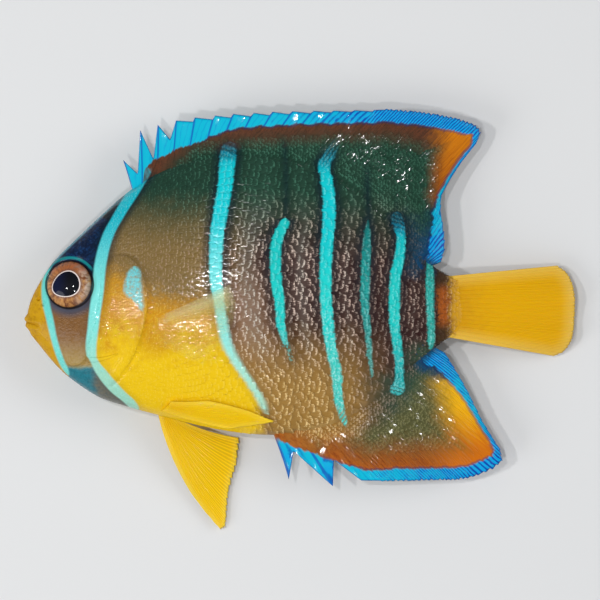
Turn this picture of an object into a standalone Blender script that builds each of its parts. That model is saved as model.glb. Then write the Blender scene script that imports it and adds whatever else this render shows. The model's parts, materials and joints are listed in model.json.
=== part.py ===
"""A young blue angelfish, life size, lying on its right side.

The fish is measured along its own body, in millimetres: s runs back from the
snout, h up towards the back fin and w out to its left side. It lies on its right
flank, so w points up in the world, and what would sink into the floor is flat.
"""

import math

import bmesh
import bpy
from mathutils import Matrix, Vector

MM = 0.001
GAP = 0.3

# Where the fish lies: the middle of its outline, and how far its midplane is above the floor.
CENTRE_S = 27.915
CENTRE_H = -1.2
MIDPLANE_HEIGHT = 3.9

# The body's side outline, its greatest half width and the level of that width, each as (s, size).
BODY_LENGTH = 42.8
BACK_POINTS = (
    (0.0, -0.45), (0.9, 1.5), (1.85, 3.15), (2.9, 4.75), (5.5, 7.55), (9.7, 11.4), (13.6, 14.2),
    (18.5, 15.8), (23.5, 16.05), (28.5, 15.2), (33.5, 12.6), (38.0, 8.4), (41.0, 4.6), (42.8, 3.4),
)
BELLY_POINTS = (
    (0.0, -1.95), (0.55, -2.7), (1.45, -3.75), (2.7, -5.3), (4.1, -6.75), (6.9, -8.8), (8.6, -9.6),
    (13.5, -11.0), (20.0, -12.5), (26.0, -13.0), (31.5, -12.1), (36.0, -9.4), (40.3, -5.2), (42.8, -3.1),
)
WIDTH_POINTS = (
    (0.0, 0.55), (1.0, 1.25), (2.5, 2.05), (4.5, 2.85), (7.0, 3.55), (10.0, 4.1), (14.0, 4.4),
    (19.0, 4.4), (24.0, 4.1), (28.0, 3.5), (33.0, 2.55), (38.0, 1.6), (42.8, 0.8),
)
LEVEL_POINTS = ((0.0, -1.1), (5.0, -0.4), (12.0, 0.2), (24.0, 1.2), (34.0, 0.8), (42.8, 0.2))
FIN_SEAT = 0.5
KEEL_SEAT = 0.2
HEAD_ROUNDNESS = (0.85, 1.0)
TRUNK_ROUNDNESS = (1.65, 1.4)
RING_STEPS = 16
FLAT_ENOUGH = 0.8

# Cuts between the pieces of the body, seen from the side.
HEAD_SEAM = ((10.1, 14.0), (9.9, 9.0), (9.5, 5.0), (9.3, -1.0), (9.2, -7.0), (9.7, -12.0))
STALK_SEAM = ((39.4, 9.0), (39.1, 4.0), (39.1, -3.5), (39.4, -9.0))
MOUTH_FRONT = (0.0, -1.45)
MOUTH_CORNER = (1.95, -2.3)
JAW_SEAM = ((-1.5, -1.3), MOUTH_FRONT, (1.1, -1.8), MOUTH_CORNER, (2.75, -3.8), (3.35, -5.4), (3.7, -9.0))

GILL_OUTLINE = (
    (8.1, 4.6), (7.9, 1.4), (7.1, -1.8), (5.9, -4.3), (5.2, -6.0), (6.5, -7.2), (8.6, -7.9),
    (11.1, -4.8), (12.4, -1.0), (12.5, 2.0), (11.4, 4.6), (9.6, 5.5),
)
GILL_PLATE = 0.9
GILL_LIFT = 0.25
CHEEK_SPINE_ROOT = (6.5, -5.2)
CHEEK_SPINE_TIP = (9.4, -4.6)
CHEEK_SPINE_RADIUS = 0.42

EYE_PLACE = (4.42, 2.38)
EYE_RADII = (2.33, 2.33, 1.45)
EYE_DEPTH = 1.95
EYE_FACES = (-0.26, 0.14, 0.95)
ORBIT_RIM = 0.17
NOSTRILS = ((1.2, 0.9), (1.65, 0.35))
NOSTRIL_RADIUS = 0.2

LIP_REACH = 1.8
LIP_SPREAD = 1.5
LIP_RADIUS = 0.34

# Fins: half thicknesses, then where each one's spines and rays end.
MEMBRANE = 0.26
RAY_RIDGE = 0.1
SPINE_RIDGE = 0.17
TIP = 0.14
ROOT_SHARE = 0.35
WEB_SHARES = (0.3, 0.7)

DORSAL_SPINES = 14
DORSAL_RAYS = 18
DORSAL_START = 10.65
SPINE_SPACING = 1.55
SPINE_TOP = 20.25
FIRST_SPINE_TIP = (9.8, 15.1)
DORSAL_DIPS = {0: (11.3, 13.7), 1: (12.9, 15.2), 2: (14.6, 17.2)}
SPINE_STEP = 0.4
DORSAL_KEYS = (
    (0.0, 31.2, 36.6, 20.35), (0.24, 33.8, 41.0, 19.95), (0.5, 36.6, 45.3, 18.95),
    (0.6, 37.7, 46.4, 17.7), (0.7, 38.8, 44.2, 14.7), (0.8, 39.7, 42.2, 11.2),
    (0.88, 40.4, 42.5, 8.5), (0.94, 40.9, 42.75, 6.4), (1.0, 41.3, 42.3, 4.7),
)

ANAL_SPINES = ((25.1, 26.7, -17.5), (27.6, 31.2, -18.2), (30.0, 34.1, -17.6))
ANAL_DIPS = {0: (27.2, -14.6), 1: (31.3, -15.5)}
ANAL_RAYS = 18
ANAL_KEYS = (
    (0.0, 31.0, 36.2, -17.7), (0.25, 34.0, 41.2, -17.6), (0.5, 36.8, 45.4, -17.3),
    (0.64, 38.4, 48.6, -15.5), (0.78, 39.7, 46.7, -11.9), (0.9, 40.8, 44.6, -7.7), (1.0, 41.6, 42.7, -4.6),
)

TAIL_RAYS = 17
TAIL_ROOT = (3.2, -2.9)
TAIL_KEYS = (
    (0.0, 54.2, 4.35), (0.1, 55.3, 3.5), (0.3, 55.95, 1.6), (0.55, 56.0, -0.9),
    (0.8, 55.2, -3.2), (0.92, 54.0, -4.4), (1.0, 52.6, -4.95),
)

PECTORAL_RAYS = 13
PECTORAL_ROOT = ((13.3, -1.0), (13.0, -3.4))
PECTORAL_KEYS = (
    (0.0, 20.8, 2.4), (0.3, 21.4, 0.3), (0.55, 20.9, -2.0), (0.8, 19.3, -4.2), (1.0, 17.2, -5.6),
)

LEFT_PELVIC_ROOTS = ((13.7, -10.45), (14.7, -9.5))
LEFT_PELVIC_TIPS = (
    (20.5, -12.3), (25.1, -11.65), (24.7, -11.3), (22.8, -10.5), (20.6, -9.85), (18.6, -9.4),
)
RIGHT_PELVIC_ROOTS = (13.5, 15.1)
RIGHT_PELVIC_TIPS = (
    (16.7, -19.0), (19.7, -22.75), (20.3, -21.5), (20.5, -18.9), (21.3, -16.2), (21.7, -13.3),
)
RIGHT_PELVIC_START = -1.0
RIGHT_PELVIC_DROP = 2.2

SKINS = {
    "olive_skin": ((0.16, 0.15, 0.08, 1), 0.4),
    "yellow_skin": ((0.72, 0.47, 0.02, 1), 0.4),
    "dark_fin": ((0.03, 0.1, 0.09, 1), 0.4),
    "yellow_fin": ((0.8, 0.52, 0.01, 1), 0.4),
    "eye": ((0.02, 0.02, 0.03, 1), 0.1),
}


def smooth_curve(points):
    """A function through (x, y) points whose slope at each is that between its neighbours."""
    xs = [p[0] for p in points]
    ys = [p[1] for p in points]
    last = len(points) - 1
    slopes = []
    for i in range(last + 1):
        before, after = max(i - 1, 0), min(i + 1, last)
        slopes.append((ys[after] - ys[before]) / (xs[after] - xs[before]))

    def value(x):
        x = min(max(x, xs[0]), xs[-1])
        i = max(k for k in range(last) if xs[k] <= x)
        span = xs[i + 1] - xs[i]
        t = (x - xs[i]) / span
        rise = 3 * t**2 - 2 * t**3
        leave = t - 2 * t**2 + t**3
        arrive = t**3 - t**2
        return ys[i] + (ys[i + 1] - ys[i]) * rise + span * (slopes[i] * leave + slopes[i + 1] * arrive)

    return value


back_line = smooth_curve(BACK_POINTS)
belly_line = smooth_curve(BELLY_POINTS)
greatest_width = smooth_curve(WIDTH_POINTS)
width_level = smooth_curve(LEVEL_POINTS)


def ease(low, high, x):
    t = min(max((x - low) / (high - low), 0.0), 1.0)
    return t * t * (3 - 2 * t)


def between(a, b, share):
    return a + (b - a) * share


def point_between(a, b, share):
    return (between(a[0], b[0], share), between(a[1], b[1], share))


def section(s, rise):
    """Height and half width of the flank where rise is 1 at the back, 0 at the widest and -1 at the belly."""
    level = width_level(s)
    on_trunk = ease(6.0, 16.0, s)
    if rise >= 0:
        h = level + (back_line(s) - level) * rise
        seat = FIN_SEAT * ease(9.0, 11.0, s)
        roundness = between(HEAD_ROUNDNESS[0], TRUNK_ROUNDNESS[0], on_trunk)
    else:
        h = level + (level - belly_line(s)) * rise
        seat = between(KEEL_SEAT * ease(1.0, 4.0, s), FIN_SEAT, ease(23.5, 25.0, s))
        roundness = between(HEAD_ROUNDNESS[1], TRUNK_ROUNDNESS[1], on_trunk)
    share = math.sqrt(max(1 - rise * rise, 0.0)) ** roundness
    return h, seat + (greatest_width(s) - seat) * share


def flank(s, h):
    """Half width of the body at a place seen from the side."""
    level = width_level(s)
    edge = back_line(s) if h >= level else belly_line(s)
    rise = min((h - level) / (edge - level), 1.0)
    return section(s, rise if h >= level else -rise)[1]


def belly_height(s, w):
    """Where the belly reaches this half width, from the keel up."""
    h = belly_line(s)
    while flank(s, h) < w:
        h += 0.02
    return h


def gill_swell(s):
    """How far the gill cover stands proud of the flank: most at its rear edge."""
    return GILL_LIFT * ease(7.5, 12.0, s)


def world(s, h, w, on_floor=True):
    z = w + MIDPLANE_HEIGHT
    return Vector((s - CENTRE_S, h - CENTRE_H, max(z, 0.0) if on_floor else z)) * MM


def material(name):
    found = bpy.data.materials.get(name)
    if found:
        return found
    colour, roughness = SKINS[name]
    made = bpy.data.materials.new(name)
    made.use_nodes = True
    shader = made.node_tree.nodes["Principled BSDF"]
    shader.inputs["Base Color"].default_value = colour
    shader.inputs["Roughness"].default_value = roughness
    shader.inputs["Metallic"].default_value = 0.0
    return made


def collection(name):
    found = bpy.data.collections.get(name)
    if not found:
        found = bpy.data.collections.new(name)
        bpy.context.scene.collection.children.link(found)
    return found


def object_of(name, mesh, home="tools"):
    made = bpy.data.objects.new(name, mesh)
    collection(home).objects.link(made)
    return made


def mesh_from(name, points, faces):
    """An object of these points and faces, closed and facing out."""
    shape = bmesh.new()
    corners = [shape.verts.new(p) for p in points]
    for face in faces:
        shape.faces.new([corners[i] for i in face])
    bmesh.ops.remove_doubles(shape, verts=shape.verts, dist=0.00001 * MM)
    bmesh.ops.recalc_face_normals(shape, faces=shape.faces)
    mesh = bpy.data.meshes.new(name)
    shape.to_mesh(mesh)
    shape.free()
    return object_of(name, mesh)


def mesh_of_curve(curve_object):
    """The same shape as a closed mesh, in place of the curve."""
    graph = bpy.context.evaluated_depsgraph_get()
    mesh = bpy.data.meshes.new_from_object(curve_object.evaluated_get(graph))
    shape = bmesh.new()
    shape.from_mesh(mesh)
    bmesh.ops.remove_doubles(shape, verts=shape.verts, dist=0.0001 * MM)
    bmesh.ops.recalc_face_normals(shape, faces=shape.faces)
    shape.to_mesh(mesh)
    shape.free()
    name = curve_object.name
    made = object_of(name + "_solid", mesh)
    made.matrix_world = curve_object.matrix_world
    bpy.data.objects.remove(curve_object)
    return made


def prism(name, outline, low, high):
    """A flat side-view outline of (s, h) points, solid from w = low to w = high."""
    curve = bpy.data.curves.new(name, "CURVE")
    curve.dimensions = "2D"
    curve.fill_mode = "BOTH"
    curve.extrude = (high - low) / 2 * MM
    line = curve.splines.new("POLY")
    line.points.add(len(outline) - 1)
    for point, (s, h) in zip(line.points, outline):
        point.co = (*(world(s, h, 0.0).xy), 0.0, 1.0)
    line.use_cyclic_u = True
    made = object_of(name, curve)
    made.location.z = ((low + high) / 2 + MIDPLANE_HEIGHT) * MM
    bpy.context.view_layer.update()
    return mesh_of_curve(made)


def tube(name, path, radii):
    """A round bar along world points, with its radius at each point in millimetres."""
    curve = bpy.data.curves.new(name, "CURVE")
    curve.dimensions = "3D"
    curve.bevel_depth = MM
    curve.bevel_resolution = 2
    curve.use_fill_caps = True
    line = curve.splines.new("POLY")
    line.points.add(len(path) - 1)
    for point, place, radius in zip(line.points, path, radii):
        point.co = (*place, 1.0)
        point.radius = radius
    return mesh_of_curve(object_of(name, curve))


def rounded(points, steps=4):
    """A closed outline made smooth: each side becomes a curve through its ends."""
    count = len(points)
    made = []
    for i in range(count):
        a, b, c, d = (points[(i + k - 1) % count] for k in range(4))
        for step in range(steps):
            t = step / steps
            made.append(tuple(
                0.5 * (2 * b[k] + (c[k] - a[k]) * t + (2 * a[k] - 5 * b[k] + 4 * c[k] - d[k]) * t**2
                       + (3 * b[k] - a[k] - 3 * c[k] + d[k]) * t**3)
                for k in (0, 1)
            ))
    return made


def offset_line(points, distance, closed):
    """The points moved sideways: to the left of the way they run where distance is positive."""
    made = []
    for i, (s, h) in enumerate(points):
        before = points[i - 1] if i or closed else points[i]
        after = points[(i + 1) % len(points)] if closed or i + 1 < len(points) else points[i]
        along = Vector((after[0] - before[0], after[1] - before[1])).normalized()
        made.append((s - along.y * distance, h + along.x * distance))
    return made


def curtain(name, seam):
    """A wall as thick as the gap between two pieces, which follows a seam right through the body."""
    left = offset_line(seam, GAP / 2, closed=False)
    right = offset_line(seam, -GAP / 2, closed=False)
    return prism(name, left + right[::-1], -9.0, 9.0)


def boolean(target, other, operation, solver="EXACT"):
    """Cuts, keeps or joins, with other an object or a collection, and applies it."""
    modifier = target.modifiers.new(operation.title(), "BOOLEAN")
    modifier.operation = operation
    modifier.solver = solver
    if isinstance(other, bpy.types.Collection):
        modifier.operand_type = "COLLECTION"
        modifier.collection = other
    else:
        modifier.object = other
    bpy.context.view_layer.update()
    graph = bpy.context.evaluated_depsgraph_get()
    mesh = bpy.data.meshes.new_from_object(target.evaluated_get(graph))
    target.modifiers.clear()
    target.data = mesh
    return target


def join(target, pieces):
    """One Boolean union of the target with closed pieces, which are then removed."""
    group = collection(target.name + "_pieces")
    for piece in pieces:
        collection("tools").objects.unlink(piece)
        group.objects.link(piece)
    boolean(target, group, "UNION")
    for piece in pieces:
        bpy.data.objects.remove(piece)
    bpy.data.collections.remove(group)
    return target


def loose_parts(target):
    """The target's separate closed surfaces as objects, the largest first."""
    shape = bmesh.new()
    shape.from_mesh(target.data)
    shape.transform(target.matrix_world)
    left = set(shape.verts)
    groups = []
    while left:
        found = [left.pop()]
        for vert in found:
            for edge in vert.link_edges:
                other = edge.other_vert(vert)
                if other in left:
                    left.remove(other)
                    found.append(other)
        groups.append({vert.index for vert in found})
    parts = []
    for group in sorted(groups, key=len, reverse=True):
        piece = shape.copy()
        others = [vert for vert in piece.verts if vert.index not in group]
        bmesh.ops.delete(piece, geom=others, context="VERTS")
        mesh = bpy.data.meshes.new(target.name)
        piece.to_mesh(mesh)
        piece.free()
        parts.append(object_of(target.name, mesh))
    shape.free()
    bpy.data.objects.remove(target)
    return parts


def clean(node):
    """Takes out the very short edges and thin faces that Booleans leave, and merges flat neighbours."""
    shape = bmesh.new()
    shape.from_mesh(node.data)
    bmesh.ops.remove_doubles(shape, verts=shape.verts, dist=0.003 * MM)
    bmesh.ops.dissolve_degenerate(shape, edges=shape.edges, dist=0.003 * MM)
    limit = math.radians(FLAT_ENOUGH)
    bmesh.ops.dissolve_limit(shape, angle_limit=limit, verts=shape.verts, edges=shape.edges)
    bmesh.ops.triangulate(shape, faces=shape.faces)
    shape.to_mesh(node.data)
    shape.free()


def as_node(target, name, skin):
    """Names a finished piece, keeps its largest closed surface and puts it in the fish's collection."""
    parts = loose_parts(target)
    for scrap in parts[1:]:
        bpy.data.objects.remove(scrap)
    node = parts[0]
    clean(node)
    node.name = name
    node.data.name = name
    node.data.materials.clear()
    node.data.materials.append(material(skin))
    node.data.shade_smooth()
    node.data.set_sharp_from_angle(angle=math.radians(35))
    collection("tools").objects.unlink(node)
    collection("blue_angelfish").objects.link(node)
    return node


def body_stations():
    """Places of the body's sections: close together at the snout, wider apart along the trunk."""
    stations = [0.0]
    while stations[-1] < BODY_LENGTH:
        s = stations[-1]
        stations.append(s + between(0.28, 1.15, ease(0.0, 16.0, s)))
    stretch = BODY_LENGTH / stations[-1]
    return [s * stretch for s in stations]


def body_loft(name, thinner=0.0, swell=None):
    """The whole body without fins, as a loft of sections. thinner gives its core, and swell a fatter one."""
    points = []
    faces = []
    stations = body_stations()
    for s in stations:
        for step in range(2 * RING_STEPS):
            down = step if step <= RING_STEPS else 2 * RING_STEPS - step
            rise = math.sin(math.radians(90 - 180 * down / RING_STEPS))
            h, w = section(s, rise)
            w = max(w - thinner, 0.25) if thinner else w
            w += swell(s) if swell else 0.0
            if down in (0, RING_STEPS):
                w = 0.0
            side = 1 if step <= RING_STEPS else -1
            points.append(world(s, h, side * w))
    ring = 2 * RING_STEPS
    for i in range(len(stations) - 1):
        for step in range(ring):
            after = (step + 1) % ring
            a, b = i * ring + step, i * ring + after
            faces.append((a, b, b + ring, a + ring))
    faces.append(range(ring))
    faces.append(range(len(points) - ring, len(points)))
    return mesh_from(name, points, faces)


def ball(name, place, radii, facing, segments=20, rings=12):
    """An ellipsoid at a world place, its third radius along facing."""
    bpy.ops.mesh.primitive_uv_sphere_add(segments=segments, ring_count=rings, radius=1.0)
    made = bpy.context.object
    turn = Vector(facing).to_track_quat("Z", "Y").to_matrix().to_4x4()
    shape = Matrix.Diagonal((*(r * MM for r in radii), 1.0))
    made.data.transform(Matrix.Translation(place) @ turn @ shape)
    for home in list(made.users_collection):
        home.objects.unlink(made)
    collection("tools").objects.link(made)
    made.name = name
    return made


def eye_place(side):
    return world(*EYE_PLACE, side * EYE_DEPTH, on_floor=False)


def eye_facing(side):
    return (EYE_FACES[0], EYE_FACES[1], side * EYE_FACES[2])


def eyeball(side, grow=0.0, segments=20, rings=12):
    radii = [r + grow for r in EYE_RADII]
    return ball("eyeball", eye_place(side), radii, eye_facing(side), segments, rings)


def orbit_rim(side):
    """The low rim of skin round the eye socket."""
    turn = Vector(eye_facing(side)).to_track_quat("Z", "Y").to_matrix()
    path = []
    count = 24
    for step in range(count):
        angle = 2 * math.pi * step / count
        radius = EYE_RADII[0] + GAP + ORBIT_RIM * 0.7
        around = turn @ Vector((radius * math.cos(angle), radius * math.sin(angle), 0.0))
        s, h = EYE_PLACE[0] + around.x, EYE_PLACE[1] + around.y
        brow = EYE_DEPTH + side * around.z - 0.3
        path.append(world(s, h, side * max(flank(s, h) - ORBIT_RIM * 0.3, brow)))
    return closed_tube("orbit_rim", path, ORBIT_RIM)


def closed_tube(name, path, radius):
    """A round bar that follows a closed line of world points."""
    curve = bpy.data.curves.new(name, "CURVE")
    curve.dimensions = "3D"
    curve.bevel_depth = radius * MM
    curve.bevel_resolution = 1
    line = curve.splines.new("POLY")
    line.points.add(len(path) - 1)
    for point, place in zip(line.points, path):
        point.co = (*place, 1.0)
    line.use_cyclic_u = True
    return mesh_of_curve(object_of(name, curve))


def lip(name, lift):
    """A lip's bead, from one corner of the mouth round the snout to the other."""
    path = []
    radii = []
    count = 12
    for step in range(count + 1):
        angle = math.pi * (step / count - 0.5)
        back = 1 - math.cos(angle)
        s = LIP_REACH * back + 0.08
        h = between(MOUTH_FRONT[1], MOUTH_CORNER[1], back**1.4)
        path.append(world(s, h + lift * (1 - 0.3 * back), LIP_SPREAD * math.sin(angle)))
        radii.append(LIP_RADIUS * (1 - 0.5 * back))
    return tube(name, path, radii)


def nostril_cutters(side):
    return [
        ball("nostril", world(s, h, side * flank(s, h)), [NOSTRIL_RADIUS] * 3, (0, 0, side), 10, 6)
        for s, h in NOSTRILS
    ]


def gill_prism(side, grow):
    outline = offset_line(rounded(GILL_OUTLINE), -grow, closed=True)
    low, high = (0.05, 9.0) if side > 0 else (-9.0, -0.05)
    return prism("gill_prism", outline, low, high)


def gill_recess(side):
    """The hollow in head and torso that the gill cover fills, with the gap all round it."""
    recess = gill_prism(side, GAP)
    core = body_loft("core", thinner=GILL_PLATE + GAP)
    boolean(recess, core, "DIFFERENCE")
    bpy.data.objects.remove(core)
    return recess


def cheek_spine(side):
    """The spine at the lower corner of the cheek, which points back over the gill cover."""
    path = []
    radii = []
    steps = 5
    for step in range(steps + 1):
        share = step / steps
        s, h = point_between(CHEEK_SPINE_ROOT, CHEEK_SPINE_TIP, share)
        w = flank(s, h) + gill_swell(s) + between(-0.42, 0.2, min(share * 1.6, 1.0))
        path.append(world(s, h, side * w))
        radii.append(CHEEK_SPINE_RADIUS * (1 - 0.75 * share**1.5))
    return tube("cheek_spine", path, radii)


def gill_cover(side, name):
    """The plate over the gills, a little proud of the flank at its rear edge."""
    plate = gill_prism(side, 0.0)
    fat_body = body_loft("fat_body", swell=gill_swell)
    core = body_loft("core", thinner=GILL_PLATE)
    boolean(plate, fat_body, "INTERSECT")
    boolean(plate, core, "DIFFERENCE")
    bpy.data.objects.remove(fat_body)
    bpy.data.objects.remove(core)
    plate.name = name + "_plate"
    join(plate, [cheek_spine(side)])
    return as_node(plate, name, "yellow_skin")


def pectoral_rays():
    rays = []
    for k in range(PECTORAL_RAYS):
        share = k / (PECTORAL_RAYS - 1)
        tip_s = smooth_curve([(key[0], key[1]) for key in PECTORAL_KEYS])(share)
        tip_h = smooth_curve([(key[0], key[2]) for key in PECTORAL_KEYS])(share)
        rays.append((point_between(*PECTORAL_ROOT, share), (tip_s, tip_h), RAY_RIDGE))
    return rays


def pectoral_recess():
    """The print of the right breast fin in the flank that lies on it."""
    rays = pectoral_rays()
    outline = [ray[0] for ray in rays[::-1]] + [ray[1] for ray in rays]
    print_line = offset_line(outline, GAP * 1.3, closed=True)
    roof = 2 * (MEMBRANE + RAY_RIDGE) + 0.1 + GAP
    return prism("breast_fin_print", print_line, -9.0, roof - MIDPLANE_HEIGHT)


def make_body():
    """Cuts the whole body into lower jaw, head, torso and tail stalk, with sockets for what fits them."""
    body = body_loft("body")
    lip_level = GAP / 2 + LIP_RADIUS * 0.75
    beads = [lip("upper_lip", lip_level), lip("lower_lip", -lip_level)]
    join(body, beads + [orbit_rim(1), orbit_rim(-1)])
    seams = (("head_seam", HEAD_SEAM), ("stalk_seam", STALK_SEAM), ("jaw_seam", JAW_SEAM))
    cutters = [curtain(name, line) for name, line in seams]
    for side in (1, -1):
        cutters += [gill_recess(side), eyeball(side, GAP, 24, 14)]
    for cutter in cutters:
        boolean(body, cutter, "DIFFERENCE")
        bpy.data.objects.remove(cutter)
    # The exact solver turns some of these shallow cuts into bumps.
    for cutter in [pectoral_recess()] + nostril_cutters(1) + nostril_cutters(-1):
        boolean(body, cutter, "DIFFERENCE", "MANIFOLD")
        bpy.data.objects.remove(cutter)
    pieces = loose_parts(body)
    for scrap in pieces[4:]:
        bpy.data.objects.remove(scrap)
    jaw, head, torso, stalk = sorted(pieces[:4], key=middle_s)
    as_node(jaw, "lower_jaw", "yellow_skin")
    as_node(head, "head", "olive_skin")
    as_node(torso, "torso", "olive_skin")
    as_node(stalk, "tail_stalk", "olive_skin")


def middle_s(piece):
    places = [vert.co.x for vert in piece.data.vertices]
    return (min(places) + max(places)) / 2


def web(rays, dips=None, step=0.0):
    """Columns of a fin as (root, tip, ridge): each ray, then the membrane up to the next one."""
    dips = dips or {}
    columns = []
    for k, ray in enumerate(rays):
        columns.append(ray)
        if k + 1 == len(rays):
            break
        after = rays[k + 1]
        shares = (WEB_SHARES[0], 0.5, WEB_SHARES[1]) if k in dips else WEB_SHARES
        for share in shares:
            root = point_between(ray[0], after[0], share)
            if k in dips:
                near = ray[1] if share < 0.5 else after[1]
                edge = point_between(near, dips[k], 1 - abs(1 - 2 * share))
            else:
                edge = point_between(ray[1], after[1], share)
                length = math.dist(root, edge)
                edge = point_between(edge, root, step * share / length)
            columns.append((root, edge, 0.0))
    return columns


def blade(name, skin, columns, middle, rows=5, root_half=FIN_SEAT, bow=0.0):
    """A fin as a loft between its two faces, which are split alike. middle gives w from (s, h, along)."""
    points = []
    for side in (1, -1):
        for root, tip, ridge in columns:
            reach = Vector((tip[0] - root[0], tip[1] - root[1]))
            for row in range(rows + 1):
                along = row / rows
                bend = bow * 4 * along * (1 - along)
                s = root[0] + reach.x * along - reach.y * bend
                h = root[1] + reach.y * along + reach.x * bend
                half = between(root_half, MEMBRANE, ease(0.0, ROOT_SHARE, along))
                half += ridge * (1 - 0.4 * along)
                half = between(half, TIP, ease(0.8, 1.0, along) * 0.9)
                points.append(world(s, h, middle(s, h, along) + side * half))
    stride = rows + 1
    sheet = len(columns) * stride
    faces = []
    for i in range(len(columns) - 1):
        for row in range(rows):
            a = i * stride + row
            b = a + stride
            c = b + 1
            d = a + 1
            faces += [(a, b, c), (a, c, d)]
            faces += [(sheet + c, sheet + b, sheet + a), (sheet + d, sheet + c, sheet + a)]
        for row in (0, rows):
            a, b = i * stride + row, (i + 1) * stride + row
            faces += [(a, b, sheet + b), (a, sheet + b, sheet + a)]
    for row in range(rows):
        for i in (0, len(columns) - 1):
            a, b = i * stride + row, i * stride + row + 1
            faces += [(a, b, sheet + b), (a, sheet + b, sheet + a)]
    return as_node(mesh_from(name, points, faces), name, skin)


def seat_point(line, s, side):
    """A fin's root: the gap away from the back line (side 1) or the belly line (side -1)."""
    slope = (line(s + 0.2) - line(s - 0.2)) / 0.4
    square = math.hypot(1.0, slope)
    return (s - side * slope / square * GAP, line(s) + side * GAP / square)


def keyed_rays(keys, count, line, side):
    root_s = smooth_curve([(key[0], key[1]) for key in keys])
    tip_s = smooth_curve([(key[0], key[2]) for key in keys])
    tip_h = smooth_curve([(key[0], key[3]) for key in keys])
    rays = []
    for k in range(count):
        share = k / (count - 1)
        rays.append((seat_point(line, root_s(share), side), (tip_s(share), tip_h(share)), RAY_RIDGE))
    return rays


def dorsal_spine_rays():
    rays = []
    for k in range(DORSAL_SPINES):
        root = DORSAL_START + SPINE_SPACING * k - 0.5 * min(k, 1)
        lean = between(-0.3, 4.9, (max(k - 1, 0) / 12) ** 1.25)
        tip = (root + lean + 0.15, SPINE_TOP - 2.1 * math.exp(-(k - 1) / 3.2))
        if k == 0:
            tip = FIRST_SPINE_TIP
        rays.append((seat_point(back_line, root, 1), tip, SPINE_RIDGE))
    return rays


def sideways(ray, distance):
    """A ray moved towards the tail, with no ridge: the free edge of a membrane."""
    (rs, rh), (ts, th), _ = ray
    across = Vector((th - rh, rs - ts)).normalized() * distance
    return ((rs + across.x, rh + across.y), (ts + across.x, th + across.y), 0.0)


def flat(s, h, along):
    return 0.0


def soft_lobe_lie(s, h, along):
    """The rear lobes of the back and anal fins sink a little towards the floor."""
    return -1.3 * ease(34.0, 49.0, s) * along


def tail_lie(s, h, along):
    """The tail sinks to the floor, its lower rays folded further down."""
    ripple = 0.25 * math.sin(h * 1.3) * along
    return -2.3 * along**1.6 - 0.7 * ease(-2.4, -4.6, h) * along + ripple


def upper_pectoral_lie(s, h, along):
    """The left breast fin lies wet against the flank."""
    return flank(s, h) + GAP + MEMBRANE + RAY_RIDGE + 0.05


def lower_pectoral_lie(s, h, along):
    """The right breast fin is pressed flat between the flank and the floor."""
    return MEMBRANE + RAY_RIDGE + 0.05 - MIDPLANE_HEIGHT


def left_pelvic_lie(s, h, along):
    """The left belly fin is folded back along the side of the belly."""
    return max(flank(s, h), 0.9) + GAP + MEMBRANE + RAY_RIDGE + 0.1


def right_pelvic_lie(s, h, along):
    """The right belly fin hangs from the belly and its tips come down to the floor."""
    return RIGHT_PELVIC_START - RIGHT_PELVIC_DROP * ease(0.0, 1.0, along)


def make_median_fins():
    spines = dorsal_spine_rays()
    blade("dorsal_fin_spiny", "dark_fin", web(spines, DORSAL_DIPS, SPINE_STEP), flat, rows=4)
    soft = [sideways(spines[-1], GAP)] + keyed_rays(DORSAL_KEYS, DORSAL_RAYS, back_line, 1)
    blade("dorsal_fin_soft", "dark_fin", web(soft, step=0.1), soft_lobe_lie, bow=-0.02)
    front = [
        (seat_point(belly_line, root, -1), (tip_s, tip_h), SPINE_RIDGE)
        for root, tip_s, tip_h in ANAL_SPINES
    ]
    rays = front + keyed_rays(ANAL_KEYS, ANAL_RAYS, belly_line, -1)
    blade("anal_fin", "dark_fin", web(rays, ANAL_DIPS, 0.1), soft_lobe_lie, bow=0.02)


def make_tail_fin():
    tip_s = smooth_curve([(key[0], key[1]) for key in TAIL_KEYS])
    tip_h = smooth_curve([(key[0], key[2]) for key in TAIL_KEYS])
    rays = []
    for k in range(TAIL_RAYS):
        share = k / (TAIL_RAYS - 1)
        root = (BODY_LENGTH + GAP, between(*TAIL_ROOT, share))
        rays.append((root, (tip_s(share), tip_h(share)), RAY_RIDGE))
    blade("tail_fin", "yellow_fin", web(rays, step=0.08), tail_lie, rows=6, root_half=0.62)


def make_paired_fins():
    hang = -RIGHT_PELVIC_START - MEMBRANE
    right_roots = [(s, belly_height(s, hang) - GAP) for s in RIGHT_PELVIC_ROOTS]
    breast = web(pectoral_rays(), step=0.08)
    blade("pectoral_fin_left", "yellow_fin", breast, upper_pectoral_lie, 4, MEMBRANE)
    blade("pectoral_fin_right", "yellow_fin", breast, lower_pectoral_lie, 3, MEMBRANE)
    for name, roots, tips, lie, bow in (
        ("pelvic_fin_left", LEFT_PELVIC_ROOTS, LEFT_PELVIC_TIPS, left_pelvic_lie, -0.02),
        ("pelvic_fin_right", right_roots, RIGHT_PELVIC_TIPS, right_pelvic_lie, -0.05),
    ):
        rays = [
            (point_between(*roots, k / (len(tips) - 1)), tip, RAY_RIDGE if k else SPINE_RIDGE)
            for k, tip in enumerate(tips)
        ]
        blade(name, "yellow_fin", web(rays), lie, rows=7, root_half=MEMBRANE, bow=bow)


def main():
    for obj in list(bpy.data.objects):
        bpy.data.objects.remove(obj)
    make_body()
    for side, name in ((1, "gill_cover_left"), (-1, "gill_cover_right")):
        gill_cover(side, name)
    for side, name in ((1, "eye_left"), (-1, "eye_right")):
        as_node(eyeball(side), name, "eye")
    make_median_fins()
    make_tail_fin()
    make_paired_fins()
    for obj in list(collection("tools").objects):
        bpy.data.objects.remove(obj)


main()
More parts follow.
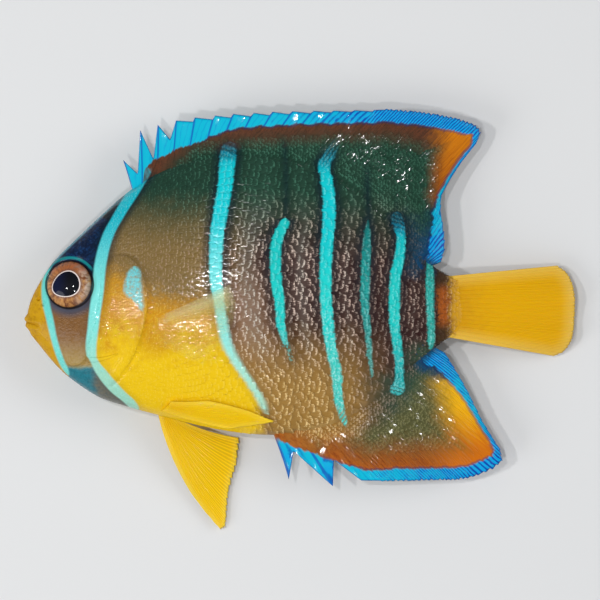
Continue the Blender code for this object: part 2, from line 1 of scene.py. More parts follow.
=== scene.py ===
# %% [markdown]
# # A young blue angelfish, life size
#
# The real fish is about 56 mm long and very flat. It lies on its right flank, seen from straight above.
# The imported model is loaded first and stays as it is. Everything that shows is then modelled over it:
# one skin with its folds, a coat of scales, two eyes and finely rayed fins.

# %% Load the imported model
import json
import math
from types import SimpleNamespace

import bpy
import numpy as np
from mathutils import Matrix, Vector, kdtree

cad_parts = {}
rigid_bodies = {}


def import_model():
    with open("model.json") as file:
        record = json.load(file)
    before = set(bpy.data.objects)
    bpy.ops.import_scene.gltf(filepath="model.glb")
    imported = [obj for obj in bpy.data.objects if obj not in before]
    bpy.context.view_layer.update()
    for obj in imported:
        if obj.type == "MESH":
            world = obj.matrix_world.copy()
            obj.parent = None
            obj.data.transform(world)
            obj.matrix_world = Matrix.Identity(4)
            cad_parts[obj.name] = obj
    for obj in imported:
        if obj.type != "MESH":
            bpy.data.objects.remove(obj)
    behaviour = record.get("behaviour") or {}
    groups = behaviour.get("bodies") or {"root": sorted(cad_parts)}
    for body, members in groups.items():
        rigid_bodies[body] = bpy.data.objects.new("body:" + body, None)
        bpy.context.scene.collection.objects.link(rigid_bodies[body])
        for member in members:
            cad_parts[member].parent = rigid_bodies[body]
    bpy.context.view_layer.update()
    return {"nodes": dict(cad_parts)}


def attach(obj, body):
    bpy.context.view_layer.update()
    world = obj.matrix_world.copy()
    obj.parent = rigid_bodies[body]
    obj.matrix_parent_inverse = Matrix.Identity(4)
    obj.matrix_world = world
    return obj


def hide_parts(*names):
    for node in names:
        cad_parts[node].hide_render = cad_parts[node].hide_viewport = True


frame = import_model()
print("nodes:", sorted(frame["nodes"]))

# %% [markdown]
# ## Where things are
#
# A fish is easiest to describe along its own body, in millimetres: s runs back from the snout, h up
# towards the back fin and w out to its left side. One function turns such places into Blender's metres.
# The body lies on the floor, so what would sink into it is pressed flat by a soft limit, which
# keeps the order of skin and scales where a hard limit would lay them all in one plane.

# %% Fish places and Blender places
MM = 0.001
CENTRE_S = 27.915
CENTRE_H = -1.2
MIDPLANE_HEIGHT = 3.9
PRESSED = 0.3


def press(z):
    """Heights over the floor, squeezed where they come close to it or below."""
    return np.where(z < PRESSED, PRESSED * np.exp(np.minimum(z - PRESSED, 0.0) / PRESSED), z)


def world(s, h, w):
    s, h, w = np.broadcast_arrays(s, h, w)
    return np.stack([s - CENTRE_S, h - CENTRE_H, press(w + MIDPLANE_HEIGHT)], axis=-1) * MM


def ease(low, high, x):
    t = np.clip((np.asarray(x, float) - low) / (high - low), 0.0, 1.0)
    return t * t * (3 - 2 * t)


def between(a, b, share):
    return a + (b - a) * share


def bump(x, middle, width):
    return np.exp(-(((x - middle) / width) ** 2))


def smooth_curve(points):
    """A function through (x, y) points whose slope at each is that between its neighbours."""
    xs, ys = np.array(points, float).T
    slopes = np.gradient(ys)
    slopes[1:-1] = (ys[2:] - ys[:-2]) / (xs[2:] - xs[:-2])
    slopes[0] = (ys[1] - ys[0]) / (xs[1] - xs[0])
    slopes[-1] = (ys[-1] - ys[-2]) / (xs[-1] - xs[-2])

    def value(x):
        x = np.clip(np.asarray(x, float), xs[0], xs[-1])
        i = np.clip(np.searchsorted(xs, x, side="right") - 1, 0, len(xs) - 2)
        span = xs[i + 1] - xs[i]
        t = (x - xs[i]) / span
        rise = 3 * t**2 - 2 * t**3
        leave = t - 2 * t**2 + t**3
        arrive = t**3 - t**2
        return ys[i] + (ys[i + 1] - ys[i]) * rise + span * (slopes[i] * leave + slopes[i + 1] * arrive)

    return value


# %% [markdown]
# ## The form of the body
#
# The outlines of back and belly, the greatest width and the level where it is are four curves along
# the body. A section at any place follows from them, so skin, scales and fins can all ask the same
# functions where the flank is.

# %% The body's curves
back_line = smooth_curve((
    (0.0, -0.2), (0.6, 1.35), (1.6, 3.15), (2.75, 4.8), (5.5, 7.55), (9.7, 11.4), (13.6, 14.2),
    (18.5, 15.8), (23.5, 16.05), (28.5, 15.2), (33.5, 12.6), (38.0, 8.4), (41.0, 4.6), (42.8, 3.4),
    (44.8, 2.6),
))
belly_line = smooth_curve((
    (0.0, -2.1), (0.35, -2.7), (1.2, -3.75), (2.45, -5.3), (3.85, -6.75), (6.75, -8.8), (8.6, -9.6),
    (13.5, -11.0), (20.0, -12.5), (26.0, -13.0), (31.5, -12.1), (36.0, -9.4), (40.3, -5.2), (42.8, -3.1),
    (44.8, -2.3),
))
greatest_width = smooth_curve((
    (0.0, 0.55), (1.0, 1.25), (2.5, 2.05), (4.5, 2.85), (7.0, 3.55), (10.0, 4.1), (14.0, 4.4),
    (19.0, 4.4), (24.0, 4.1), (28.0, 3.5), (33.0, 2.55), (38.0, 1.6), (42.8, 0.8), (44.8, 0.04),
))
width_level = smooth_curve((
    (0.0, -1.1), (5.0, -0.4), (12.0, 0.2), (24.0, 1.2), (34.0, 0.8), (42.8, 0.2),
))
FIN_SEAT = 0.5
KEEL_SEAT = 0.2
HEAD_ROUNDNESS = (0.85, 1.0)
TRUNK_ROUNDNESS = (1.65, 1.4)
RIDGE_SHARE = 0.95
SKIN_END = 44.8
SNOUT_TIP = -0.14
SNOUT_LEVEL = -1.2
SNOUT_ROUND = 0.35


def section(s, rise):
    """Height and half width where rise is 1 at the back, 0 at the widest and -1 at the belly."""
    level = width_level(s)
    on_trunk = ease(6.0, 16.0, s)
    up = rise >= 0
    edge = np.where(up, back_line(s), belly_line(s))
    keel = between(KEEL_SEAT * ease(1.0, 4.0, s), FIN_SEAT, ease(23.5, 25.0, s))
    seat = np.where(up, FIN_SEAT * ease(9.0, 11.0, s), keel) * (1 - ease(42.8, SKIN_END, s))
    roundness = np.where(
        up,
        between(HEAD_ROUNDNESS[0], TRUNK_ROUNDNESS[0], on_trunk),
        between(HEAD_ROUNDNESS[1], TRUNK_ROUNDNESS[1], on_trunk),
    )
    share = np.sqrt(np.maximum(1 - rise**2, 0.0)) ** roundness
    return level + (edge - level) * np.abs(rise), seat + (greatest_width(s) - seat) * share


def rise_at(s, h):
    level = width_level(s)
    edge = np.where(h >= level, back_line(s), belly_line(s))
    rise = np.clip((h - level) / (edge - level), 0.0, 1.0)
    return np.where(h >= level, rise, -rise)


def flank(s, h):
    return section(s, rise_at(s, h))[1]


def plain_flank(s, rise, side):
    """The body without its folds, rounded off at the snout and along the ridges of back and belly."""
    h, w = section(np.maximum(s, 0.0), rise)
    over = np.clip((np.abs(rise) - RIDGE_SHARE) / (1 - RIDGE_SHARE), 0.0, 1.0)
    w = w * np.sqrt(1 - over**2)
    near = np.clip((s - SNOUT_TIP) / (SNOUT_ROUND - SNOUT_TIP), 0.0, 1.0)
    shrink = np.sqrt(1 - (1 - near) ** 2)
    return np.stack([s + 0 * h, SNOUT_LEVEL + (h - SNOUT_LEVEL) * shrink, side * w * shrink], axis=-1)


print("half width at the shoulder:", float(flank(14.0, 0.2)), "mm")

# %% [markdown]
# ## Folds of the head
#
# The head's bones show through: lips round a small mouth, two pairs of nostrils, the edge of the
# cheek, and the gill cover, whose rear edge stands a little proud. Sculpting them by brush can't be
# repeated exactly, so each is a small formula of the distance to a line or a ring on the side view, and
# all of them together raise or lower the skin along its own normal.

# %% Distances on the side view
MOUTH = ((-0.6, -1.42), (0.0, -1.45), (1.1, -1.8), (1.95, -2.3))
GILL_OUTLINE = (
    (8.1, 4.6), (7.9, 1.4), (7.1, -1.8), (5.9, -4.3), (5.2, -6.0), (6.5, -7.2), (8.6, -7.9),
    (11.1, -4.8), (12.4, -1.0), (12.5, 2.0), (11.4, 4.6), (9.6, 5.5),
)
CHEEK_EDGE = ((7.75, 3.6), (7.55, 1.4), (7.0, -1.6), (6.35, -3.6), (6.1, -5.2), (4.9, -5.9), (3.6, -5.6))
NOSTRILS = ((1.2, 0.9), (1.65, 0.35))


def rounded(points, closed, steps=6):
    """The points of a smooth line through these ones."""
    places = np.array(points, float)
    count = len(places)
    made = []
    for i in range(count if closed else count - 1):
        if closed:
            a, b, c, d = (places[(i + k - 1) % count] for k in range(4))
        else:
            a, b, c, d = (places[min(max(i + k - 1, 0), count - 1)] for k in range(4))
        for step in range(steps):
            t = step / steps
            made.append(0.5 * (2 * b + (c - a) * t + (2 * a - 5 * b + 4 * c - d) * t**2
                               + (3 * b - a - 3 * c + d) * t**3))
    if not closed:
        made.append(places[-1])
    return np.array(made)


def nearest_on(line, s, h, closed=False):
    """Distance to a line of points, signed by side, and how far along the line the nearest place is."""
    starts = line if closed else line[:-1]
    ends = np.roll(line, -1, axis=0) if closed else line[1:]
    best = np.full(np.shape(s), 1e9)
    sign = np.ones(np.shape(s))
    along = np.zeros(np.shape(s))
    for i, (a, b) in enumerate(zip(starts, ends)):
        d = b - a
        t = np.clip(((s - a[0]) * d[0] + (h - a[1]) * d[1]) / max(d @ d, 1e-12), 0.0, 1.0)
        away_s = s - (a[0] + d[0] * t)
        away_h = h - (a[1] + d[1] * t)
        distance = np.hypot(away_s, away_h)
        closer = distance < best
        best = np.where(closer, distance, best)
        sign = np.where(closer, np.sign(d[0] * away_h - d[1] * away_s), sign)
        along = np.where(closer, (i + t) / len(starts), along)
    return best * sign, along


mouth_line = rounded(MOUTH, closed=False)
gill_line = rounded(GILL_OUTLINE, closed=True)
cheek_line = rounded(CHEEK_EDGE, closed=False)
print("lines of the head:", len(mouth_line), len(gill_line), len(cheek_line), "points")

# %% Height of the folds over the plain body
GILL_LIFT = 0.25
COAT_DEPTH = 0.06
LIP_HEIGHT = 0.17


def folds(s, h):
    """How far the skin stands over the plain body here, in millimetres."""
    mouth, _ = nearest_on(mouth_line, s, h)
    near_mouth = 1 - ease(0.9, 1.7, s)
    lips = LIP_HEIGHT * (bump(mouth, 0.34, 0.24) + bump(mouth, -0.36, 0.26)) * near_mouth
    slit = -0.15 * bump(mouth, 0.0, 0.06) * (1 - ease(0.9, 1.4, s))
    behind_lips = -0.04 * (bump(mouth, 0.95, 0.2) + bump(mouth, -0.95, 0.2)) * near_mouth

    gill, _ = nearest_on(gill_line, s, h, closed=True)
    rear = ease(7.0, 9.5, s)
    plate = GILL_LIFT * ease(7.5, 12.0, s) * ease(0.0, 0.22, gill)
    gill_slit = -0.12 * bump(gill, -0.1, 0.12) * rear
    bone = 0.05 * bump(gill, 0.7, 0.4) * rear

    cheek, cheek_along = nearest_on(cheek_line, s, h)
    shown = ease(0.0, 0.08, cheek_along) * (1 - ease(0.9, 1.0, cheek_along))
    cheek_plate = 0.09 * ease(0.14, -0.02, cheek) * ease(-1.6, -0.2, cheek)
    cheek_step = (cheek_plate - 0.12 * bump(cheek, 0.12, 0.1)) * shown

    nose = 0.0
    for place_s, place_h in NOSTRILS:
        r = np.hypot(s - place_s, h - place_h)
        nose = nose + 0.07 * bump(r, 0.24, 0.09) - 0.3 * bump(r, 0.0, 0.13)
    return lips + slit + behind_lips + plate + gill_slit + bone + cheek_step + nose


print("gill cover over the plain body:", round(float(folds(11.0, 1.0)), 2), "mm")

# %% [markdown]
# ## The eye sockets
#
# The eye is large and sits shallow. Round it the skin is drawn in to a ring that the eyeball
# fills, with a low rim. This is done in the eye's own frame, whose third axis looks out of the head.

# %% The eye's frame and the skin round it
EYE_PLACE = (4.42, 2.38)
EYE_DEPTH = 1.95
EYE_FACES = (-0.26, 0.14, 0.95)
EYE_RADIUS = 2.38
EYE_BULGE = 1.4
SOCKET_LEVEL = 0.1
SOCKET_EDGE = 2.36


def eye_frame(side):
    """Centre and axes of an eye in fish places: back, up and out."""
    centre = np.array([EYE_PLACE[0], EYE_PLACE[1], side * EYE_DEPTH])
    out = np.array([EYE_FACES[0], EYE_FACES[1], side * EYE_FACES[2]])
    out = out / np.linalg.norm(out)
    back = np.array([1.0, 0.0, 0.0])
    back = back - (back @ out) * out
    back = back / np.linalg.norm(back)
    up = np.cross(out, back) * side
    return centre, back, up, out


def draw_in_socket(points, side):
    centre, back, up, out = eye_frame(side)
    away = points - centre
    r = np.hypot(away @ back, away @ up)
    c = away @ out
    floor = SOCKET_LEVEL - 1.1 * ease(SOCKET_EDGE + 0.04, SOCKET_EDGE - 0.45, r)
    rim = 0.1 * bump(r, SOCKET_EDGE + 0.3, 0.2)
    weight = (1 - ease(SOCKET_EDGE + 0.1, SOCKET_EDGE + 0.85, r)) * ease(-1.5, -0.5, c)
    lift = (floor - c) * weight + rim * ease(-1.0, -0.3, c)
    return points + lift[..., None] * out


print("the left eye looks along:", eye_frame(1)[3].round(2))

# %% Skin places
STEP = 0.02


def flank_place(s, rise, side, lift=0.0):
    """Fish places on the skin, with folds and sockets, or this far over it."""
    here = plain_flank(s, rise, side)
    before = plain_flank(s - STEP, rise, side)
    after = plain_flank(s + STEP, rise, side)
    lower = plain_flank(s, np.clip(rise - STEP, -1, 1), side)
    upper = plain_flank(s, np.clip(rise + STEP, -1, 1), side)
    normal = np.cross(after - before, upper - lower) * side
    length = np.linalg.norm(normal, axis=-1, keepdims=True)
    ahead = np.array([-1.0, 0.0, 0.0]) + 0 * normal
    normal = np.where(length > 1e-9, normal / np.maximum(length, 1e-9), ahead)
    on_trunk = 1 - ease(39.5, 42.8, s)
    inset = COAT_DEPTH * between(0.5, 1.0, ease(3.0, 12.0, s)) * on_trunk
    height = folds(here[..., 0], here[..., 1]) - inset + lift
    made = here + normal * height[..., None]
    return draw_in_socket(made, side)


probe = flank_place(np.array([14.0]), np.array([0.0]), 1)
print("skin at the shoulder:", probe.round(3), "mm")

# %% [markdown]
# ## Tools for modelling
#
# Curved sheets start as Blender's grid primitive. Its points are then moved to their places by a
# function of two shares, which is exact and can be repeated. Edges that meet are merged in edit mode.

# %% Helpers for meshes
def only(piece):
    """Makes this the one selected and active object."""
    bpy.ops.object.select_all(action="DESELECT")
    piece.select_set(True)
    bpy.context.view_layer.objects.active = piece


def points_of(mesh):
    flat = np.empty(len(mesh.vertices) * 3, np.float32)
    mesh.vertices.foreach_get("co", flat)
    return flat.reshape(-1, 3).astype(float)


def set_points(mesh, points):
    mesh.vertices.foreach_set("co", np.asarray(points, np.float32).ravel())
    mesh.update()


def attribute(mesh, name, values):
    """Stores a number or a vector for each point, for a material to read."""
    values = np.asarray(values, np.float32)
    kind = "FLOAT_VECTOR" if values.ndim == 2 else "FLOAT"
    made = mesh.attributes.new(name, kind, "POINT")
    made.data.foreach_set("vector" if values.ndim == 2 else "value", values.ravel())


def close_up(piece, distance=0.000002):
    """Merges points that meet, and turns all faces outwards."""
    only(piece)
    bpy.ops.object.mode_set(mode="EDIT")
    bpy.ops.mesh.select_all(action="SELECT")
    bpy.ops.mesh.remove_doubles(threshold=distance)
    bpy.ops.mesh.dissolve_degenerate(threshold=0.0000002)
    bpy.ops.mesh.normals_make_consistent(inside=False)
    bpy.ops.object.mode_set(mode="OBJECT")


def wrapped_grid(name, across, along, place, marks=None):
    """A grid primitive with its points moved to place(u, v). marks(u, v) gives attributes by name."""
    bpy.ops.object.select_all(action="DESELECT")
    bpy.ops.mesh.primitive_grid_add(x_subdivisions=across, y_subdivisions=along, size=2.0)
    piece = bpy.context.object
    piece.name = name
    piece.data.name = name
    flat = points_of(piece.data)
    u = (flat[:, 0] + 1) / 2
    v = (flat[:, 1] + 1) / 2
    set_points(piece.data, place(u, v))
    for key, values in (marks(u, v) if marks else {}).items():
        attribute(piece.data, key, values)
    close_up(piece)
    bpy.ops.object.shade_smooth()
    return piece


def finish_piece(piece, material, slot, *nodes):
    """Material, body and the nodes that a finished piece stands for. slot is not used."""
    piece.data.materials.clear()
    piece.data.materials.append(material)
    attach(piece, "root")
    if nodes:
        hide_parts(*nodes)
    print(piece.name, len(piece.data.polygons), "faces")


# %% [markdown]
# ## The skin
#
# One closed skin covers head, jaw, gill covers, trunk and tail stalk, so no seam shows between them.
# The grid is closer at the head, where the folds are fine, and wider along the trunk.

# %% Model the skin
SKIN_COLUMNS = 430
SKIN_RING = 216
HEAD_SHARE = 0.58
HEAD_END = 13.0


def skin_station(u):
    """Place along the body for a share of the grid's columns."""
    head = SNOUT_TIP + (HEAD_END - SNOUT_TIP) * (u / HEAD_SHARE) ** 1.25
    trunk = HEAD_END + (SKIN_END - HEAD_END) * (u - HEAD_SHARE) / (1 - HEAD_SHARE)
    return np.where(u < HEAD_SHARE, head, trunk)


def ring_rise(share):
    """Even steps round the body, closer together at its ridges."""
    return 0.45 * share + 0.55 * np.sin(np.pi / 2 * share)


def skin_place(u, v):
    """v runs from the back down the left side to the belly and up the right side."""
    s = skin_station(u)
    left = v <= 0.5
    share = np.where(left, 1 - 4 * v, 4 * v - 3)
    rise = ring_rise(share)
    points = np.where(left[:, None], flank_place(s, rise, 1), flank_place(s, rise, -1))
    at_ridge = np.isclose(np.abs(share), 1.0, atol=1e-4)
    points[:, 2] = np.where(at_ridge, 0.0, points[:, 2])
    return world(*points.T)


skin = wrapped_grid("skin", SKIN_COLUMNS, SKIN_RING, skin_place)
print("points of the skin:", len(skin.data.vertices))

# %% [markdown]
# ## Places of the scales
#
# Scales sit in staggered rows like roof tiles, larger on the trunk and tiny on the head and at
# the fins. On the trunk the rows stand half a millimetre apart and lean back towards the top. The
# lattice is laid out in the body's own surface: s, and the distance round the flank from its widest
# line, so it is measured from both sides alike and can't smear at the ridges.

# %% Distance round the flank
TABLE_S = np.linspace(0.2, 43.6, 240)
TABLE_SHARE = np.linspace(0.0, 1.0, 90)


def arc_table(way):
    """Distance round the section up (way 1) or down (way -1), for stations and rises."""
    rise = np.sin(np.pi / 2 * TABLE_SHARE)[None, :] * way
    h, w = section(TABLE_S[:, None], rise)
    steps = np.hypot(np.diff(h, axis=1), np.diff(w, axis=1))
    return np.concatenate([np.zeros((len(TABLE_S), 1)), np.cumsum(steps, axis=1)], axis=1)


ARCS = {1: arc_table(1), -1: arc_table(-1)}


def arc_length(s, way):
    return np.interp(s, TABLE_S, ARCS[way][:, -1])


def rise_for_arc(s, arc):
    """The rise at a signed distance round the flank."""
    made = np.zeros(np.shape(s))
    place = np.clip((s - TABLE_S[0]) / (TABLE_S[1] - TABLE_S[0]), 0, len(TABLE_S) - 1.001)
    row = place.astype(int)
    part = place - row
    for way in (1, -1):
        chosen = (arc >= 0) if way == 1 else (arc < 0)
        table = ARCS[way]
        wanted = np.abs(arc[chosen])
        low_row = table[row[chosen]]
        arcs = low_row + (table[row[chosen] + 1] - low_row) * part[chosen][:, None]
        wanted = np.minimum(wanted, arcs[:, -1] * 0.9999)
        index = np.clip((arcs <= wanted[:, None]).sum(axis=1) - 1, 0, len(TABLE_SHARE) - 2)
        pick = np.arange(len(index))
        low, high = arcs[pick, index], arcs[pick, index + 1]
        share = TABLE_SHARE[index] + (wanted - low) / (high - low) * (TABLE_SHARE[1] - TABLE_SHARE[0])
        made[chosen] = np.sin(np.pi / 2 * np.clip(share, 0.0, 1.0)) * way
    return made


# %% The lattice of scales
scale_height = smooth_curve((
    (1.0, 0.24), (8.0, 0.3), (12.0, 0.42), (16.0, 0.65), (20.0, 0.88), (24.0, 0.98), (34.0, 0.96),
    (43.0, 0.55),
))
scale_step = smooth_curve((
    (1.0, 0.17), (8.0, 0.21), (12.0, 0.28), (16.0, 0.38), (20.0, 0.48), (24.0, 0.54), (34.0, 0.53),
    (43.0, 0.38),
))
ROW_LEAN = 0.22
SEED = 7
FIRST_SCALE = 2.6
LAST_SCALE = 43.2


def scale_roots():
    """Root place (s, arc) and size (along, across) of each scale of one side, front rows first."""
    rng = np.random.default_rng(SEED)
    roots = []
    s = FIRST_SCALE
    row = 0
    while s < LAST_SCALE:
        pitch = float(scale_height(s))
        for way in (1, -1):
            reach = float(arc_length(s, way)) - 0.12
            count = int(reach / pitch)
            for k in range(count + 1):
                arc = (k + 0.5 * (row % 2)) * pitch
                if way == -1 and k == 0 and row % 2 == 0:
                    continue
                if arc < reach:
                    astray = rng.normal(0.0, 1.0, 2) * (0.06 + 0.14 * (1 - ease(12.0, 20.0, s)))
                    leaning = way * arc * ROW_LEAN * ease(9.0, 26.0, s) * (1 - ease(33.0, 42.0, s))
                    at_s = s + float(scale_step(s)) * astray[0] + leaning
                    roots.append((at_s, way * arc + pitch * astray[1], float(scale_step(s)), pitch))
        s += float(scale_step(s))
        row += 1
    return np.array(roots)


def clear_of_face(s, h):
    """True where the face has no scales: round the eye, on the snout and on the lips."""
    eye = np.hypot(s - EYE_PLACE[0], h - EYE_PLACE[1]) < 2.85
    snout = s < 3.1 + 0.25 * np.maximum(h + 1.0, 0.0)
    return eye | snout


all_roots = scale_roots()
root_h = section(all_roots[:, 0], rise_for_arc(all_roots[:, 0], all_roots[:, 1]))[0]
all_roots = all_roots[~clear_of_face(all_roots[:, 0], root_h)]
print("scales on each side:", len(all_roots))

# %% [markdown]
# ## One scale, many times
#
# A scale is a thin curved plate: its root is sunk under the plate before it, its free edge is round
# and lifted. The copies are joined into one mesh for each half of a side, which keeps the file light.
# Each point keeps its place on its own scale, for the colour, and its scale's root, so that the edge of
# a bar can step a little from scale to scale.

# %% Build a coat of plates
PLATE_ACROSS = 7
PLATE_ALONG = 4
PLATE_WIDTH = 1.22
PLATE_LENGTH = 2.5
UV_PATCH = 0.003


def plate_points():
    """Places on one plate: p from -1 to 1 across and q from 0 at the root to 1 at the free edge."""
    p, q = np.meshgrid(np.linspace(-1, 1, PLATE_ACROSS), np.linspace(0, 1, PLATE_ALONG), indexing="ij")
    return p.ravel(), q.ravel()


def plate_form(p, q):
    """How far the free edge reaches at p, and how broad the plate is at (p, q), as shares."""
    reach = np.sqrt(np.clip(1 - (0.82 * p) ** 2, 0, 1))
    return reach, 0.55 + 0.45 * q * reach


def plate_faces():
    """Top faces of one plate, and the outline that its one lower face follows."""
    def index(i, j):
        return i * PLATE_ALONG + j

    top = [
        (index(i, j), index(i, j + 1), index(i + 1, j + 1), index(i + 1, j))
        for i in range(PLATE_ACROSS - 1) for j in range(PLATE_ALONG - 1)
    ]
    rim = [index(i, 0) for i in range(PLATE_ACROSS)]
    rim += [index(PLATE_ACROSS - 1, j) for j in range(1, PLATE_ALONG)]
    rim += [index(i, PLATE_ALONG - 1) for i in range(PLATE_ACROSS - 2, -1, -1)]
    rim += [index(0, j) for j in range(PLATE_ALONG - 2, 0, -1)]
    return top, rim


def plates(name, count, place, uv_place, flip):
    """Joined plates. place(k, p, q) gives world points for plate numbers and places on the plates.

    flip is true for plates of the right side, whose faces run the other way round.
    """
    p, q = (np.tile(shares, count) for shares in plate_points())
    top, rim = plate_faces()
    each = len(p) // count
    k = np.repeat(np.arange(count), each)
    points = place(k, p, q)
    flip = np.broadcast_to(flip, count)
    faces = []
    for n in range(count):
        base = n * each
        for face in top:
            corners = [base + i for i in face]
            faces.append(corners[::-1] if flip[n] else corners)
        corners = [base + i for i in rim]
        faces.append(corners if not flip[n] else corners[::-1])
    mesh = bpy.data.meshes.new(name)
    mesh.from_pydata(points.tolist(), [], faces)
    piece = bpy.data.objects.new(name, mesh)
    bpy.context.scene.collection.objects.link(piece)
    own_number = np.repeat(np.random.default_rng(SEED).random(count), each)
    attribute(mesh, "scale", np.stack([p, q, own_number], 1))
    corners = np.empty(len(mesh.loops), np.int32)
    mesh.loops.foreach_get("vertex_index", corners)
    layer = mesh.uv_layers.new(name="OFBake")
    root_uv = uv_place(np.arange(count))[corners // each]
    local = np.stack([p[corners], q[corners] * 2 - 1], 1)
    layer.data.foreach_set("uv", (root_uv + UV_PATCH / 2 * local).astype(np.float32).ravel())
    mesh.update()
    return piece


print("faces of one scale:", len(plate_faces()[0]) + 1)

# %% Scales of the flanks
LIFT_AT_EDGE = 0.055
PLATE_DOME = 0.02
ROOT_SUNK = 0.03
BREAST_CALM = 0.7
UV_LENGTH = 46.0
UV_HEIGHT = 36.0
COAT_PARTS = ("front", 0.0, 24.0), ("rear", 24.0, 99.0)


def flank_scales(side, part, part_from, part_to):
    roots = all_roots[(all_roots[:, 0] >= part_from) & (all_roots[:, 0] < part_to)]
    rng = np.random.default_rng(SEED + side)
    wobble = rng.normal(0.0, 1.0, (len(roots), 4))

    def spread(k, p, q):
        s0, arc0, step, pitch = roots[k].T
        lean = wobble[k, 0] * 0.05
        width = pitch * PLATE_WIDTH / 2 * (1 + 0.05 * wobble[k, 1])
        length = step * PLATE_LENGTH * (1 + 0.05 * wobble[k, 2])
        reach, breadth = plate_form(p, q)
        s = s0 + length * (q * between(0.72, 1.0, reach)) + lean * p * length
        arc = arc0 + width * p * breadth + lean * q * length
        return s, arc, step

    def place(k, p, q):
        s, arc, step = spread(k, p, q)
        size = (np.minimum(step, 0.5) / 0.4) ** 1.5
        calm = ease(0.0, 3.5, -roots[k, 1]) * (1 - ease(19.5, 23.5, roots[k, 0]))
        size = size * (1 - BREAST_CALM * calm)
        rise = rise_for_arc(s, arc)
        rim = 1 - ease(0.6, 1.0, np.abs(p)) * 0.6
        lift = -ROOT_SUNK + (LIFT_AT_EDGE + ROOT_SUNK) * q**0.8 * rim + PLATE_DOME * (1 - p**2) * q
        lift = lift * size
        lift = lift + 0.008 * wobble[k, 3] * q
        return world(*flank_place(s, rise, side, lift).T)

    def uv_place(k):
        s0, arc0 = roots[k, 0], roots[k, 1]
        v = 0.25 + arc0 / UV_HEIGHT / 2
        return np.stack([s0 / UV_LENGTH, v if side > 0 else v + 0.5], 1)

    name = ("scales_left_" if side > 0 else "scales_right_") + part
    piece = plates(name, len(roots), place, uv_place, flip=side < 0)
    root_points = world(*plain_flank(roots[:, 0], rise_for_arc(roots[:, 0], roots[:, 1]), side).T)
    attribute(piece.data, "root", np.repeat(root_points, len(plate_points()[0]), axis=0))
    only(piece)
    bpy.ops.object.shade_smooth_by_angle(angle=math.radians(50))
    return piece


scales = [flank_scales(side, *part) for side in (1, -1) for part in COAT_PARTS]
print({piece.name: sum(len(f.vertices) - 2 for f in piece.data.polygons) for piece in scales})

# %% [markdown]
# ## Fins
#
# A fin is a thin membrane over bony rays. Its spines are stiff and plain, its soft rays branch
# twice on the way out. Each fin is a grid folded round its free edge, so both faces are one closed
# sheet, and the rays are raised in it. Roots are sunk into the body.

# %% Rays of each fin
SPINE_STEPS = ((0.0, 0.42), (7.0, 0.42), (13.0, 0.16))
DORSAL_SPINES = 14
DORSAL_START = 10.65
SPINE_SPACING = 1.55
SPINE_TOP = 20.25
FIRST_SPINE_TIP = (9.8, 15.1)
DORSAL_DIPS = {0: (11.3, 13.7), 1: (12.9, 15.2), 2: (14.6, 17.2)}
DORSAL_KEYS = (
    (0.0, 31.2, 36.6, 20.35), (0.24, 33.8, 41.0, 19.95), (0.5, 36.6, 45.3, 18.95),
    (0.6, 37.7, 46.4, 17.7), (0.7, 38.8, 44.2, 14.7), (0.8, 39.7, 42.2, 11.2),
    (0.88, 40.4, 42.5, 8.5), (0.94, 40.9, 42.75, 6.4), (1.0, 41.3, 42.3, 4.7),
)
DORSAL_RAYS = 20
ANAL_SPINES = ((25.1, 26.7, -17.5), (27.6, 31.2, -18.2), (30.0, 34.1, -17.6))
ANAL_DIPS = {0: (27.2, -14.6), 1: (31.3, -15.5)}
ANAL_RAYS = 20
ANAL_KEYS = (
    (0.0, 31.0, 36.2, -17.7), (0.25, 34.0, 41.2, -17.6), (0.5, 36.8, 45.4, -17.3),
    (0.64, 38.4, 48.6, -15.5), (0.78, 39.7, 46.7, -11.9), (0.9, 40.8, 44.6, -7.7),
    (1.0, 41.6, 42.7, -4.6),
)
TAIL_RAYS = 17
TAIL_START = 42.4
TAIL_ROOT = (3.2, -2.9)
TAIL_KEYS = (
    (0.0, 54.2, 4.35), (0.1, 55.3, 3.5), (0.3, 55.95, 1.6), (0.55, 56.0, -0.9),
    (0.8, 55.7, -3.2), (0.92, 55.0, -4.4), (1.0, 53.9, -4.95),
)
PECTORAL_RAYS = 15
PECTORAL_ROOT = ((13.3, -1.0), (13.0, -3.4))
PECTORAL_KEYS = (
    (0.0, 20.8, 2.4), (0.3, 21.4, 0.3), (0.55, 20.9, -2.0), (0.8, 19.3, -4.2), (1.0, 17.2, -5.6),
)
LEFT_PELVIC_ROOTS = ((13.7, -10.45), (14.7, -9.5))
LEFT_PELVIC_TIPS = (
    (20.5, -12.3), (25.1, -11.65), (24.7, -11.3), (22.8, -10.5), (20.6, -9.85), (18.6, -9.4),
)
RIGHT_PELVIC_ROOTS = ((13.5, -10.6), (15.1, -10.95))
RIGHT_PELVIC_TIPS = (
    (16.7, -19.0), (19.7, -22.75), (20.3, -21.5), (20.5, -18.9), (21.3, -16.2), (21.7, -13.3),
)
SUNK = 1.2


def keyed(keys, count):
    """Root s, tip s and tip h of evenly shared rays."""
    places, *columns = zip(*keys)
    return [smooth_curve(list(zip(places, column)))(np.linspace(0, 1, count)) for column in columns]


def median_rays(keys, count, line):
    root_s, tip_s, tip_h = keyed(keys, count)
    return [((s, float(line(s))), (ts, th)) for s, ts, th in zip(root_s, tip_s, tip_h)]


def dorsal_spines():
    rays = []
    for k in range(DORSAL_SPINES):
        root = DORSAL_START + SPINE_SPACING * k - 0.5 * min(k, 1)
        lean = between(-0.3, 4.9, (max(k - 1, 0) / 12) ** 1.25)
        tip = (root + lean + 0.15, SPINE_TOP - 2.1 * math.exp(-(k - 1) / 3.2))
        rays.append(((root, float(back_line(root))), FIRST_SPINE_TIP if k == 0 else tip))
    return rays


